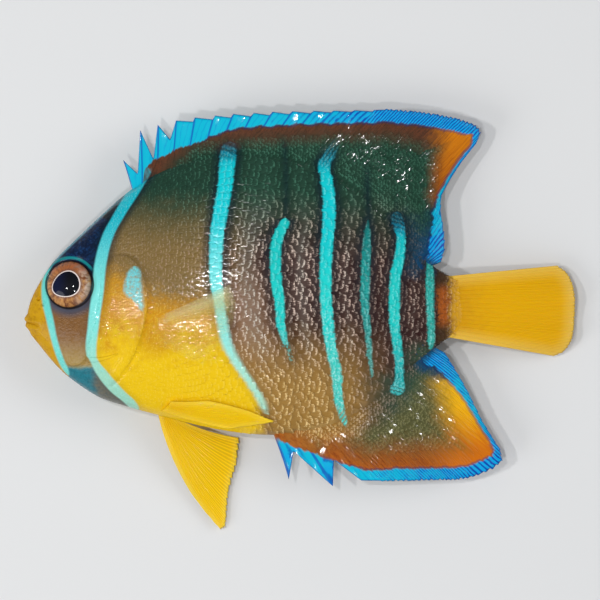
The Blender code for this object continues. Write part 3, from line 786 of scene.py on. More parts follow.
def sink(rays):
    """The same rays with their roots moved a little way into the body."""
    made = []
    for root, tip in rays:
        way = np.subtract(tip, root)
        start = np.subtract(root, way / np.linalg.norm(way) * SUNK)
        made.append((tuple(start), tip))
    return made


print("dorsal spines:", len(dorsal_spines()))

# %% The face of a fin
RAY_HEIGHT = 0.1
SPINE_HEIGHT = 0.1
MEMBRANE = 0.1
FRAY = 0.1


def ray_ridges(r, along, spines):
    """Height of the rays, 0 to 1. A soft ray splits in two, and each half splits again."""
    nearest = np.round(r)
    f = r - nearest
    single = bump(f, 0.0, 0.1)
    first = 0.2 * ease(0.4, 0.62, along)
    second = 0.1 * ease(0.68, 0.85, along)
    width = between(0.12, 0.055, ease(0.4, 0.9, along))
    soft = np.zeros_like(f)
    for a in (-1, 1):
        for b in (-1, 1):
            soft = np.maximum(soft, bump(f, a * first + b * second, width))
    spiny = nearest < spines
    return np.where(spiny, single, soft), spiny


def fin_face(rays, lie, spines=0, dips=None, steps=((0.0, 0.0), (1.0, 0.0)), bow=0.0, fray=FRAY,
             ray_height=RAY_HEIGHT, membrane=MEMBRANE, fillet=(0.55, 1.6), sunk=SUNK):
    """The surface of a fin over (root, tip) rays: a function of ray number, share along it and side.

    The fillet's height and length blend the fin into the body. sunk is how much of each ray is in it.
    """
    dips = dips or {}
    last = len(rays) - 1
    numbers = np.arange(last + 1)
    table = np.array([[*root, *tip] for root, tip in rays])

    def ends(r):
        """Root and free edge, which is notched behind spines and frayed where soft rays end."""
        root_s, root_h, tip_s, tip_h = (np.interp(r, numbers, column) for column in table.T)
        length = np.hypot(tip_s - root_s, tip_h - root_h)
        k = np.clip(np.floor(r), 0, last).astype(int)
        f = r - k
        cut = np.where(k < spines, np.interp(k, *zip(*steps)) * f, 0.0)
        for dip, (dip_s, dip_h) in dips.items():
            inside = (k == dip) & (f > 0)
            near = np.where(f < 0.5, dip, min(dip + 1, last))
            depth = 1 - np.abs(1 - 2 * f) ** 1.1
            tip_s = np.where(inside, between(table[near, 2], dip_s, depth), tip_s)
            tip_h = np.where(inside, between(table[near, 3], dip_h, depth), tip_h)
            cut = np.where(inside, 0.0, cut)
        tooth = np.abs(np.mod(2 * r, 1.0) - 0.15) / 0.85
        ragged = 0.65 + 0.35 * np.sin(r * 5.1) * np.sin(r * 2.3 + 1.0)
        cut = cut + np.where(k < spines, 0.0, fray * tooth * ragged)
        share = cut / np.maximum(length, 0.1)
        return root_s, root_h, tip_s + (root_s - tip_s) * share, tip_h + (root_h - tip_h) * share

    def face(r, along, side, closing=1.0):
        """Place (s, h, w) and the ray's length."""
        root_s, root_h, tip_s, tip_h = ends(r)
        reach_s, reach_h = tip_s - root_s, tip_h - root_h
        length = np.hypot(reach_s, reach_h)
        bend = bow * 4 * along * (1 - along)
        s = root_s + reach_s * along - reach_h * bend
        h = root_h + reach_h * along + reach_s * bend
        ridge, spiny = ray_ridges(r, along, spines)
        out_of_body = along * length - sunk
        half = membrane + fillet[0] * np.exp(-np.maximum(out_of_body, -1.3) / fillet[1])
        half = half + ridge * np.where(spiny, SPINE_HEIGHT, ray_height) * between(1.0, 0.4, along)
        return np.stack([s, h, lie(s, h, along) + side * half * closing], axis=-1), length

    return face, last


def rim_finder(face_and_last, sunk=SUNK):
    """A function that gives a place's distance to the free edge and how far along the edge that is."""
    face, last = face_and_last
    edge = face(np.linspace(0, last, last * 100 + 1), 1.0, 1)[0][:, :2]
    shares = np.linspace(0.0, 1.0, 160)
    sides = []
    for r in (0.0, float(last)):
        points, length = face(r, shares, 1)
        sides.append(points[shares * length > sunk + 0.3, :2])
    line = np.concatenate([sides[0], edge, sides[1][::-1]])
    far = np.concatenate([[0.0], np.cumsum(np.hypot(*np.diff(smoothed(line), axis=0).T))])
    tree = kdtree.KDTree(len(line))
    for i, (s, h) in enumerate(line.tolist()):
        tree.insert((s, h, 0.0), i)
    tree.balance()

    def find(places):
        found = [tree.find((s, h, 0.0)) for s, h in places[:, :2].tolist()]
        return np.array([item[2] for item in found]), far[[item[1] for item in found]] / far[-1]

    return find


def smoothed(line, reach=20):
    """The line without its teeth, for measuring along it."""
    padded = np.pad(line, ((reach, reach), (0, 0)), mode="edge")
    weights = np.ones(2 * reach + 1) / (2 * reach + 1)
    return np.stack([np.convolve(padded[:, i], weights, mode="valid") for i in (0, 1)], axis=1)


def fin(name, face_and_last, columns, rows, sunk=SUNK):
    """A grid folded round the fin's free edge, so that both faces are one closed sheet."""
    face, last = face_and_last
    find_rim = rim_finder(face_and_last, sunk)

    def spread(u, v):
        near = v <= 0.5
        along = np.where(near, 2 * v, 2 - 2 * v)
        return u * last, np.sin(np.pi / 2 * along) * 0.5 + along * 0.5, np.where(near, 1.0, -1.0)

    def place(u, v):
        r, along, side = spread(u, v)
        closing = np.sqrt(np.clip(1 - ease(0.96, 1.0, along) * 0.999, 0, 1))
        closing = closing * ease(0.0, 0.02, along) * ease(0.0, 0.004, u) * ease(1.0, 0.996, u)
        points, _ = face(r, along, side, closing)
        return world(*points.T)

    def marks(u, v):
        r, along, side = spread(u, v)
        places, length = face(r, along, side)
        away, rim = find_rim(places)
        return {"fin": np.stack([r, along, away], 1), "rim": rim, "out_of_body": along * length - sunk}

    return wrapped_grid(name, columns, rows, place, marks)


# %% How each fin lies
def soft_lobe_lie(s, h, along):
    """The rear lobes of the back and anal fins sink a little towards the floor."""
    return -1.3 * ease(34.0, 49.0, s) * along + 0.05 * np.sin(s * 2.3) * along


def tail_lie(s, h, along):
    """The tail sinks to the floor, its lower rays folded further down."""
    ripple = 0.25 * np.sin(h * 1.3) * along
    return -2.3 * along**1.6 - 0.7 * ease(-2.4, -4.6, h) * along + ripple


def upper_pectoral_lie(s, h, along):
    return flank(s, h) + 0.2 + 0.35 * along


def lower_pectoral_lie(s, h, along):
    return 0.2 - MIDPLANE_HEIGHT + 0 * s


def left_pelvic_lie(s, h, along):
    return np.maximum(flank(s, h), 0.9) + 0.35 + 0 * along


def right_pelvic_lie(s, h, along):
    return -1.0 - 2.2 * ease(0.0, 1.0, along)


# %% Model the fins on the midline
dorsal_rays = sink(dorsal_spines() + median_rays(DORSAL_KEYS, DORSAL_RAYS, back_line))
dorsal_face = fin_face(dorsal_rays, soft_lobe_lie, DORSAL_SPINES, DORSAL_DIPS, SPINE_STEPS, bow=-0.01,
                       fray=0.3, fillet=(0.5, 1.6))
dorsal = fin("rayed_dorsal", dorsal_face, 561, 84)
anal_front = [((s, float(belly_line(s))), (ts, th)) for s, ts, th in ANAL_SPINES]
anal_rays = sink(anal_front + median_rays(ANAL_KEYS, ANAL_RAYS, belly_line))
anal_face = fin_face(anal_rays, soft_lobe_lie, len(ANAL_SPINES), ANAL_DIPS, ((0.0, 0.1), (3.0, 0.1)),
                     bow=0.02, fray=0.28, fillet=(0.42, 1.6))
anal = fin("rayed_anal", anal_face, 460, 90)
tail_tips = zip(*keyed(TAIL_KEYS, TAIL_RAYS))
tail_heights = between(*TAIL_ROOT, np.linspace(0, 1, TAIL_RAYS))
tail_rays = [((TAIL_START, height), tip) for height, tip in zip(tail_heights, tail_tips)]
tail_face = fin_face(tail_rays, tail_lie, fray=0.16, ray_height=0.05, fillet=(0.5, 2.6), sunk=0.0)
tail = fin("rayed_tail", tail_face, 400, 90, 0.0)
print("rays of back, anal and tail fins:", len(dorsal_rays), len(anal_rays), len(tail_rays))

# %% Model the paired fins
pectoral_tips = list(zip(*keyed(PECTORAL_KEYS, PECTORAL_RAYS)))


def fan(roots_line, tips):
    """Rays from an even row of roots to these tips."""
    (first_s, first_h), (last_s, last_h) = roots_line
    shares = np.linspace(0, 1, len(tips))
    return [
        ((between(first_s, last_s, share), between(first_h, last_h, share)), tip)
        for share, tip in zip(shares, tips)
    ]


pectoral_rays = fan(PECTORAL_ROOT, pectoral_tips)
upper_face = fin_face(pectoral_rays, upper_pectoral_lie, ray_height=0.07, membrane=0.04,
                      fillet=(0.3, 1.0), fray=0.3, sunk=0.0)
lower_face = fin_face(pectoral_rays, lower_pectoral_lie, ray_height=0.04, membrane=0.04,
                      fillet=(0.1, 1.0), fray=0.3, sunk=0.0)
pectoral_left = fin("rayed_pectoral_left", upper_face, 300, 70, 0.0)
pectoral_right = fin("rayed_pectoral_right", lower_face, 200, 40, 0.0)
left_pelvic_rays = fan(LEFT_PELVIC_ROOTS, rounded(LEFT_PELVIC_TIPS, closed=False, steps=2))
right_pelvic_rays = sink(fan(RIGHT_PELVIC_ROOTS, rounded(RIGHT_PELVIC_TIPS, closed=False, steps=2)))
left_face = fin_face(left_pelvic_rays, left_pelvic_lie, 1, bow=-0.02, ray_height=0.035,
                     membrane=0.07, fillet=(0.3, 1.5), fray=0.3, sunk=0.0)
right_face = fin_face(right_pelvic_rays, right_pelvic_lie, 1, bow=-0.05, ray_height=0.045,
                      membrane=0.07, fillet=(0.35, 1.5), fray=0.3)
pelvic_left = fin("rayed_pelvic_left", left_face, 150, 80, 0.0)
pelvic_right = fin("rayed_pelvic_right", right_face, 150, 80)
print("rays of the breast and belly fins:", len(pectoral_rays), len(left_pelvic_rays))

# %% [markdown]
# ## Scales on the fins
#
# On an angelfish the scales run on over the bases of the back and anal fins, smaller and smaller,
# so that no line shows where the body ends. They are the same plates, on a finer lattice in the side
# view. For each one the fin's own face is asked where it is and which way it looks.

# %% Lay scales on a fin
FIN_SCALE_STEP = 0.3
FIN_SCALE_PITCH = 0.42


def slopes_of(face, r, along, side):
    """Place, length and the two slopes of a fin's face."""
    e_r, e_a = 0.03, 0.004
    here, length = face(r, along, side)
    by_r = (face(r + e_r, along, side)[0] - face(r - e_r, along, side)[0]) / (2 * e_r)
    by_a = (face(r, along + e_a, side)[0] - face(r, along - e_a, side)[0]) / (2 * e_a)
    return here, length, by_r, by_a


def fin_roots(face, last, covered, find_rim):
    """Ray number and share along the ray of each scale: the lattice's nodes inside the covered part."""
    grid = np.meshgrid(np.linspace(0.05, last - 0.05, last * 10), np.linspace(0.02, 0.97, 70))
    r, along = (shares.ravel() for shares in grid)
    places, length = face(r, along, 1)
    kept = covered(*find_rim(places)) & (along * length > 0.6)
    r, along, places = r[kept], along[kept], places[kept]
    columns = np.arange(places[:, 0].min(), places[:, 0].max(), FIN_SCALE_STEP)
    chosen = []
    targets = []
    for i, s0 in enumerate(columns):
        near = np.abs(places[:, 0] - s0) < 0.2
        if not near.any():
            continue
        for h0 in np.arange(-19.0, 20.5, FIN_SCALE_PITCH) + FIN_SCALE_PITCH / 2 * (i % 2):
            away = np.hypot(places[near, 0] - s0, places[near, 1] - h0)
            if away.min() < 0.13:
                index = np.flatnonzero(near)[away.argmin()]
                chosen.append((r[index], along[index]))
                targets.append((s0, h0))
    chosen = np.array(chosen)
    side = np.ones(len(chosen))
    here, _, by_r, by_a = slopes_of(face, chosen[:, 0], chosen[:, 1], side)
    slopes = np.stack([by_r[:, :2], by_a[:, :2]], axis=2)
    step = np.einsum("nij,nj->ni", np.linalg.inv(slopes), np.array(targets) - here[:, :2])
    return np.clip(chosen + np.clip(step, -0.4, 0.4), (0.01, 0.01), (last - 0.01, 0.98))


def fin_scales(name, face_and_last, covered, lean):
    """Plates on both faces of a fin. lean is how far they turn from the tail towards the rays' tips."""
    face, last = face_and_last
    find_rim = rim_finder(face_and_last)
    nodes = fin_roots(face, last, covered, find_rim)
    count = len(nodes)
    nodes = np.concatenate([nodes, nodes])
    sides = np.repeat([1.0, -1.0], count)
    rng = np.random.default_rng(SEED)
    wobble = rng.normal(0.0, 1.0, (2 * count, 3))
    here, length, by_r, by_a = slopes_of(face, nodes[:, 0], nodes[:, 1], sides)
    ray = by_a[:, :2] / np.linalg.norm(by_a[:, :2], axis=1, keepdims=True)
    axis = ray * lean + np.array([1.0, 0.0]) * (1 - lean)
    axis = axis / np.linalg.norm(axis, axis=1, keepdims=True)
    slopes = np.stack([by_r[:, :2], by_a[:, :2]], axis=2)
    back = np.linalg.inv(slopes)
    stored = {}

    def place(k, p, q):
        reach, breadth = plate_form(p, q)
        ahead = FIN_SCALE_STEP * 2.3 * q * between(0.45, 1.0, reach) * (1 + 0.06 * wobble[k, 0])
        across = FIN_SCALE_PITCH * 0.6 * p * breadth
        away = axis[k] * ahead[:, None] + np.stack([-axis[k, 1], axis[k, 0]], 1) * across[:, None]
        step = np.einsum("nij,nj->ni", back[k], away)
        r = np.clip(nodes[k, 0] + step[:, 0], 0.0, last)
        along = np.clip(nodes[k, 1] + step[:, 1], 0.01, 0.985)
        points, _, slope_r, slope_a = slopes_of(face, r, along, sides[k])
        normal = np.cross(slope_r, slope_a)
        normal = normal / np.linalg.norm(normal, axis=1, keepdims=True)
        normal = normal * (np.sign(normal[:, 2]) * sides[k])[:, None]
        lift = -ROOT_SUNK + (LIFT_AT_EDGE + ROOT_SUNK) * q**0.8 + PLATE_DOME * (1 - p**2) * q
        lift = lift * (1 + 0.1 * wobble[k, 1])
        away, stored["rim"] = find_rim(points)
        stored["fin"] = np.stack([r, along, away], 1)
        stored["out"] = along * length[k] - SUNK
        return world(*(points + normal * lift[:, None]).T)

    def uv_place(k):
        v = 0.25 + here[k, 1] / 100
        return np.stack([here[k, 0] / 60, np.where(sides[k] > 0, v, v + 0.5)], 1)

    piece = plates(name, 2 * count, place, uv_place, flip=sides < 0)
    each = len(plate_points()[0])
    attribute(piece.data, "fin", stored["fin"])
    attribute(piece.data, "rim", stored["rim"])
    attribute(piece.data, "out_of_body", stored["out"])
    attribute(piece.data, "root", np.repeat(world(*here.T), each, axis=0))
    only(piece)
    bpy.ops.object.shade_smooth_by_angle(angle=math.radians(50))
    print(name, 2 * count, "scales")
    return piece


def over_base(limits):
    """True farther from the fin's free edge than a curve over the places along that edge."""
    limit = smooth_curve(limits)
    return lambda away, rim: away > limit(rim)


DORSAL_BAND = (
    (0.0, 1.2), (0.05, 1.2), (0.114, 2.0), (0.19, 2.1), (0.25, 2.4), (0.36, 2.5), (0.44, 2.5),
    (0.55, 2.6), (0.62, 2.9), (0.68, 3.4), (0.76, 3.5), (0.79, 3.1), (0.83, 2.5), (0.87, 1.3),
    (0.9, 0.7), (0.93, 1.7), (0.96, 1.7), (1.0, 1.3),
)
ANAL_BAND = (
    (0.0, 1.6), (0.14, 1.7), (0.279, 2.0), (0.34, 2.7), (0.45, 3.1), (0.55, 3.2), (0.62, 3.4),
    (0.68, 3.6), (0.73, 3.6), (0.8, 3.4), (0.86, 2.9), (0.9, 2.4), (0.95, 2.0), (1.0, 1.8),
)
dorsal_scales = fin_scales("scales_dorsal", dorsal_face, over_base(DORSAL_BAND), 0.25)
anal_scales = fin_scales("scales_anal", anal_face, over_base(ANAL_BAND), 0.25)

# %% [markdown]
# ## Eyes
#
# The eyeball is a flattened ball, clear and hard outside. Its pupil is egg-shaped with the point
# to the front, with a thin pale ring and a copper iris. The ball starts as a sphere primitive whose
# pole looks out of the head, and each point keeps its place on the iris for the colours.

# %% Model the eyes
PUPIL_PLACE = (-0.08, -0.17)
PUPIL_TURN = math.radians(20)
PUPIL_RADII = (1.45, 1.23)


def eyeball(side):
    name = "eyeball_left" if side > 0 else "eyeball_right"
    bpy.ops.object.select_all(action="DESELECT")
    bpy.ops.mesh.primitive_uv_sphere_add(segments=96, ring_count=64, radius=1.0)
    piece = bpy.context.object
    piece.name = name
    piece.data.name = name
    ball = points_of(piece.data)
    x, y, c = ball[:, 0] * EYE_RADIUS, ball[:, 1] * EYE_RADIUS, ball[:, 2]
    r = np.hypot(x, y)
    bulge = c * EYE_BULGE - 0.05 * bump(r, EYE_RADIUS * 0.93, 0.2) * (c > 0)
    centre, back, up, out = eye_frame(side)
    places = centre + x[:, None] * back + y[:, None] * up + bulge[:, None] * out
    set_points(piece.data, world(*places.T))
    attribute(piece.data, "iris", np.stack([x, y, c], 1))
    close_up(piece)
    bpy.ops.object.shade_smooth()
    return piece


eyes = {side: eyeball(side) for side in (1, -1)}
print("eyeballs:", [piece.name for piece in eyes.values()])

# %% [markdown]
# ## Cheek spines
#
# Angelfishes carry a strong spine at the lower corner of each cheek, which points back over the gill
# cover. It is a cone primitive, bent along the flank.

# %% Model the cheek spines
CHEEK_SPINE_ROOT = (6.2, -5.25)
CHEEK_SPINE_TIP = (9.4, -4.6)
CHEEK_SPINE_RADIUS = 0.34


def cheek_spine(side):
    name = "cheek_spine_left" if side > 0 else "cheek_spine_right"
    bpy.ops.object.select_all(action="DESELECT")
    bpy.ops.mesh.primitive_cone_add(vertices=24, radius1=1.0, radius2=0.0, depth=1.0)
    piece = bpy.context.object
    piece.name = name
    piece.data.name = name
    only(piece)
    bpy.ops.object.mode_set(mode="EDIT")
    bpy.ops.mesh.select_all(action="SELECT")
    bpy.ops.mesh.subdivide(number_cuts=7)
    bpy.ops.object.mode_set(mode="OBJECT")
    cone = points_of(piece.data)
    share = cone[:, 2] + 0.5
    angle = np.arctan2(cone[:, 1], cone[:, 0])
    from_axis = np.hypot(cone[:, 0], cone[:, 1])
    radius = np.where(from_axis < 1e-5, 0.0, from_axis / np.maximum(1 - share, 1e-4))
    thick = CHEEK_SPINE_RADIUS * (1 - share) ** 0.7 * np.clip(radius, 0, 1)
    s = between(CHEEK_SPINE_ROOT[0], CHEEK_SPINE_TIP[0], share)
    h = between(CHEEK_SPINE_ROOT[1], CHEEK_SPINE_TIP[1], share) - 0.25 * np.sin(np.pi * share)
    h = h + thick * np.cos(angle)
    on_gill = flank(s, h) + GILL_LIFT * ease(7.5, 12.0, s)
    w = on_gill + between(-0.16, 0.12, share) + 0.8 * thick * np.sin(angle)
    set_points(piece.data, world(s, h, side * w))
    close_up(piece)
    bpy.ops.object.shade_smooth()
    return piece


spines = {side: cheek_spine(side) for side in (1, -1)}
print("spines:", [piece.name for piece in spines.values()])

# %% [markdown]
# ## Materials
#
# All colours are painted by nodes from the place on the fish, so both flanks carry the same markings.
# A small helper writes node trees like sums, which keeps each recipe readable.

# %% Helper for node trees
class Recipe:
    """Short names for making and joining the nodes of one tree."""

    def __init__(self, tree):
        self.tree = tree

    def node(self, kind, **settings):
        made = self.tree.nodes.new(kind)
        for key, value in settings.items():
            setattr(made, key, value)
        return made

    def put(self, socket, value):
        if isinstance(value, bpy.types.NodeSocket):
            self.tree.links.new(value, socket)
        else:
            socket.default_value = value

    def sum(self, operation, *values, clamp=False):
        made = self.node("ShaderNodeMath", operation=operation, use_clamp=clamp)
        for socket, value in zip(made.inputs, values):
            self.put(socket, value)
        return made.outputs[0]

    def add(self, a, b):
        return self.sum("ADD", a, b)

    def less(self, a, b):
        return self.sum("SUBTRACT", a, b)

    def times(self, a, b):
        return self.sum("MULTIPLY", a, b)

    def most(self, a, b):
        return self.sum("MAXIMUM", a, b)

    def size(self, a):
        return self.sum("ABSOLUTE", a)

    def flip(self, a):
        return self.sum("SUBTRACT", 1.0, a)

    def ease(self, low, high, value, bottom=0.0, top=1.0):
        made = self.node("ShaderNodeMapRange", interpolation_type="SMOOTHSTEP")
        numbers = {"Value": value, "From Min": low, "From Max": high, "To Min": bottom, "To Max": top}
        for name, number in numbers.items():
            self.put(made.inputs[name], number)
        return made.outputs["Result"]

    def mix(self, share, a, b):
        made = self.node("ShaderNodeMix", data_type="RGBA")
        self.put(made.inputs[0], share)
        for socket, colour in ((made.inputs[6], a), (made.inputs[7], b)):
            self.put(socket, colour if isinstance(colour, bpy.types.NodeSocket) else (*colour, 1.0))
        return made.outputs[2]

    def split(self, vector):
        made = self.node("ShaderNodeSeparateXYZ")
        self.put(made.inputs[0], vector)
        return made.outputs[0], made.outputs[1], made.outputs[2]

    def vector(self, x, y, z):
        made = self.node("ShaderNodeCombineXYZ")
        for socket, value in zip(made.inputs, (x, y, z)):
            self.put(socket, value)
        return made.outputs[0]

    def noise(self, vector, scale, detail=3.0, rough=0.55):
        made = self.node("ShaderNodeTexNoise")
        self.put(made.inputs["Vector"], vector)
        made.inputs["Scale"].default_value = scale
        made.inputs["Detail"].default_value = detail
        made.inputs["Roughness"].default_value = rough
        return made.outputs["Fac"]

    def stored(self, name, output="Vector"):
        made = self.node("ShaderNodeAttribute", attribute_name=name)
        return made.outputs[output]

    def curve(self, value, points, x_range, y_range, handles="AUTO"):
        """A smooth curve through (x, y) points, as a Float Curve node."""
        share = self.node("ShaderNodeMapRange")
        for name, number in (("Value", value), ("From Min", x_range[0]), ("From Max", x_range[1])):
            self.put(share.inputs[name], number)
        made = self.node("ShaderNodeFloatCurve")
        line = made.mapping.curves[0]
        (x_low, x_high), (y_low, y_high) = x_range, y_range
        ready = [((x - x_low) / (x_high - x_low), (y - y_low) / (y_high - y_low)) for x, y in points]
        while len(line.points) < len(ready):
            line.points.new(0.5, 0.5)
        for point, (x, y) in zip(line.points, ready):
            point.location = (x, y)
            point.handle_type = handles
        made.mapping.update()
        self.put(made.inputs["Value"], share.outputs["Result"])
        back = self.node("ShaderNodeMapRange", clamp=False)
        self.put(back.inputs["Value"], made.outputs[0])
        back.inputs["To Min"].default_value = y_range[0]
        back.inputs["To Max"].default_value = y_range[1]
        return back.outputs["Result"]


def new_material(name):
    made = bpy.data.materials.new(name)
    made.use_nodes = True
    recipe = Recipe(made.node_tree)
    return made, recipe, made.node_tree.nodes["Principled BSDF"]


# %% [markdown]
# ## The markings
#
# Eight turquoise bars cross the head, flank and tail root, and a ninth mark sits on the gill cover.
# Each has a middle line and a width along the fish's height, drawn by two curve nodes. A bar's edge
# follows the place on the fish and a little the root of each scale, so it steps slightly from scale
# to scale.

# %% Bars, from the photo's proportions, as (height, s of its middle, half width)
BARS = {
    "snout": (
        (-6.9, 4.3, -0.2), (-6.2, 3.95, 0.3), (-5.3, 3.52, 0.33), (-3.26, 2.86, 0.32),
        (-1.22, 2.41, 0.37), (1.33, 1.9, 0.36), (3.06, 1.95, 0.3), (4.4, 2.5, 0.14), (5.9, 3.6, -0.2),
    ),
    "cheek": (
        (-10.4, 11.1, 0.3), (-9.59, 10.51, 0.62), (-8.47, 9.28, 0.72), (-6.43, 7.61, 0.6),
        (-5.2, 6.85, 0.42), (-4.79, 6.67, 0.5), (-1.63, 6.89, 0.56), (1.53, 7.3, 0.6),
        (4.59, 7.61, 0.6), (7.14, 8.26, 0.58), (9.18, 9.28, 0.6), (11.93, 10.9, 0.7), (14.5, 12.2, 0.8),
    ),
    "gill": (
        (-0.7, 11.9, -0.4), (0.0, 11.75, 0.12), (0.7, 11.45, 0.4), (1.4, 10.95, 0.8),
        (2.4, 10.85, 0.82), (3.3, 10.95, 0.65), (3.9, 11.05, 0.45), (4.3, 11.05, -0.5),
    ),
    "shoulder": (
        (-10.9, 24.5, -0.3), (-10.2, 24.1, 0.3), (-9.49, 23.77, 0.38), (-7.55, 22.64, 0.45),
        (-5.41, 21.22, 0.48), (-3.26, 20.2, 0.5), (-1.12, 19.79, 0.52), (1.02, 19.48, 0.56),
        (3.16, 19.22, 0.62), (7.24, 19.33, 0.68), (10.0, 19.74, 0.72), (12.65, 20.16, 0.74),
        (14.69, 20.35, 0.78), (16.3, 20.6, 0.75), (17.0, 20.7, -0.3),
    ),
    "first_short": (
        (-6.2, 27.2, -0.5), (-5.15, 26.81, 0.18), (-3.26, 26.21, 0.32), (-1.84, 25.81, 0.42),
        (0.31, 25.66, 0.48), (2.45, 25.38, 0.55), (4.59, 25.23, 0.55), (6.73, 25.38, 0.53),
        (8.6, 26.1, 0.5), (9.2, 26.3, -0.4),
    ),
    "middle": (
        (-12.3, 32.6, -0.4), (-11.2, 32.23, 0.35), (-9.08, 31.6, 0.45), (-6.94, 31.46, 0.52),
        (-4.08, 30.89, 0.54), (-1.22, 30.53, 0.57), (1.94, 30.32, 0.58), (5.81, 30.4, 0.6),
        (8.16, 30.6, 0.62), (10.51, 30.7, 0.62), (12.85, 30.48, 0.6), (14.43, 30.3, 0.6),
        (15.4, 30.75, 0.66), (16.4, 31.2, 0.6), (17.2, 31.5, 0.25), (17.8, 31.7, -0.6),
    ),
    "second_short": (
        (-7.6, 35.1, -0.5), (-6.73, 35.04, 0.1), (-4.08, 34.75, 0.26), (-1.94, 34.58, 0.34),
        (0.2, 34.32, 0.42), (3.06, 34.37, 0.44), (5.92, 34.48, 0.44), (7.6, 34.55, 0.3),
        (9.6, 34.7, -0.3),
    ),
    "rear": (
        (-9.0, 37.75, -0.9), (-8.65, 37.75, 0.6), (-8.1, 37.8, 0.72), (-7.3, 37.9, 0.5),
        (-6.6, 37.9, 0.47), (-4.08, 37.68, 0.46), (-1.94, 37.39, 0.5), (0.2, 37.33, 0.54),
        (3.06, 37.43, 0.55), (5.2, 37.84, 0.52), (7.34, 38.05, 0.48), (8.8, 37.8, 0.62),
        (9.3, 37.7, 0.55), (9.9, 37.7, -0.6),
    ),
    "tail_base": (
        (-4.6, 41.1, -0.6), (-3.6, 41.1, 0.3), (-2.86, 41.11, 0.36), (0.0, 41.0, 0.38),
        (3.47, 40.97, 0.4), (4.3, 40.97, 0.3), (5.4, 40.97, -0.6),
    ),
}
SMOOTH_BARS = ("snout", "cheek")
TRUNK_BARS = ("shoulder", "first_short", "middle", "second_short", "rear", "tail_base")
BAR_COLOURS = {
    "snout": ((0.14, 0.6, 0.54), (0.12, 0.58, 0.52), (0.03, 0.5, 0.56)),
    "cheek": ((0.32, 0.62, 0.47), (0.19, 0.7, 0.65), (0.004, 0.46, 0.56)),
    "gill": ((0.22, 0.64, 0.7), (0.16, 0.6, 0.64), (0.08, 0.5, 0.56)),
    "shoulder": ((0.38, 0.68, 0.52), (0.2, 0.74, 0.72), (0.002, 0.58, 0.64)),
    "first_short": ((0.03, 0.4, 0.36), (0.008, 0.56, 0.52), (0.006, 0.5, 0.48)),
    "middle": ((0.05, 0.54, 0.46), (0.01, 0.6, 0.56), (0.002, 0.56, 0.6)),
    "second_short": ((0.06, 0.3, 0.26), (0.01, 0.34, 0.31), (0.006, 0.2, 0.19)),
    "rear": ((0.006, 0.36, 0.36), (0.008, 0.54, 0.5), (0.004, 0.46, 0.5)),
    "tail_base": ((0.02, 0.38, 0.32), (0.02, 0.42, 0.36), (0.01, 0.3, 0.26)),
}
# Long bars end in a comb of fine teeth: slant and density of the teeth, then the heights between
# which the comb begins, at the top and at the bottom.
COMBED = {
    "rear": (0.35, 15.0, (7.2, 8.6), (-7.4, -8.4)),
    "middle": (-1.6, 9.0, (13.6, 16.2), (-9.5, -11.0)),
    "shoulder": (0.35, 9.0, (14.6, 16.4), (-9.5, -11.0)),
}
print("bars:", len(BARS))

# %% Colours of the ground, as (red, green, blue) in linear light
GROUND = {
    "shoulder_dark": (0.19, 0.12, 0.035),
    "shoulder_light": (0.5, 0.38, 0.24),
    "rear_dark": (0.026, 0.007, 0.006),
    "rear_light": (0.98, 0.78, 0.66),
    "back_dark": (0.011, 0.04, 0.024),
    "back_light": (0.045, 0.14, 0.09),
    "belly_dark": (0.3, 0.16, 0.034),
    "belly_light": (0.97, 0.7, 0.3),
    "front_tan_dark": (0.19, 0.095, 0.048),
    "front_tan_light": (0.95, 0.8, 0.68),
    "navy": (0.003, 0.042, 0.08),
    "teal": (0.028, 0.07, 0.042),
    "yellow": (0.78, 0.5, 0.004),
    "orange": (0.56, 0.25, 0.004),
    "snout": (0.54, 0.29, 0.006),
    "brow": (0.002, 0.009, 0.034),
    "brow_light": (0.006, 0.034, 0.115),
    "cheek": (0.18, 0.078, 0.022),
    "cheek_low": (0.34, 0.23, 0.06),
    "chin": (0.02, 0.19, 0.24),
    "nape": (0.002, 0.002, 0.004),
    "rust": (0.36, 0.085, 0.008),
    "tail": (0.62, 0.31, 0.005),
}
print("ground colours:", len(GROUND))


# %% Measures that all markings are drawn from
SCALE_ROOT_SHARE = 0.13


def bar_distance(k, points, s, h):
    """Distance outside a bar, and the signed distance from its middle, towards the tail."""
    heights = (min(p[0] for p in points), max(p[0] for p in points))
    places = [p[1] for p in points]
    s_range = (min(places) - 1.0, max(places) + 1.0)
    middle = k.curve(h, [(p[0], p[1]) for p in points], heights, s_range)
    half = k.curve(h, [(p[0], p[2]) for p in points], heights, (-1.0, 1.5))
    signed = k.less(s, middle)
    return k.less(k.size(signed), half), signed


def ring_distance(k, s, h, centre_s, centre_h, radius_s, radius_h):
    """Distance from a centre on the side view, in radii."""
    a = k.sum("DIVIDE", k.less(s, centre_s), radius_s)
    b = k.sum("DIVIDE", k.less(h, centre_h), radius_h)
    return k.sum("SQRT", k.add(k.times(a, a), k.times(b, b)))


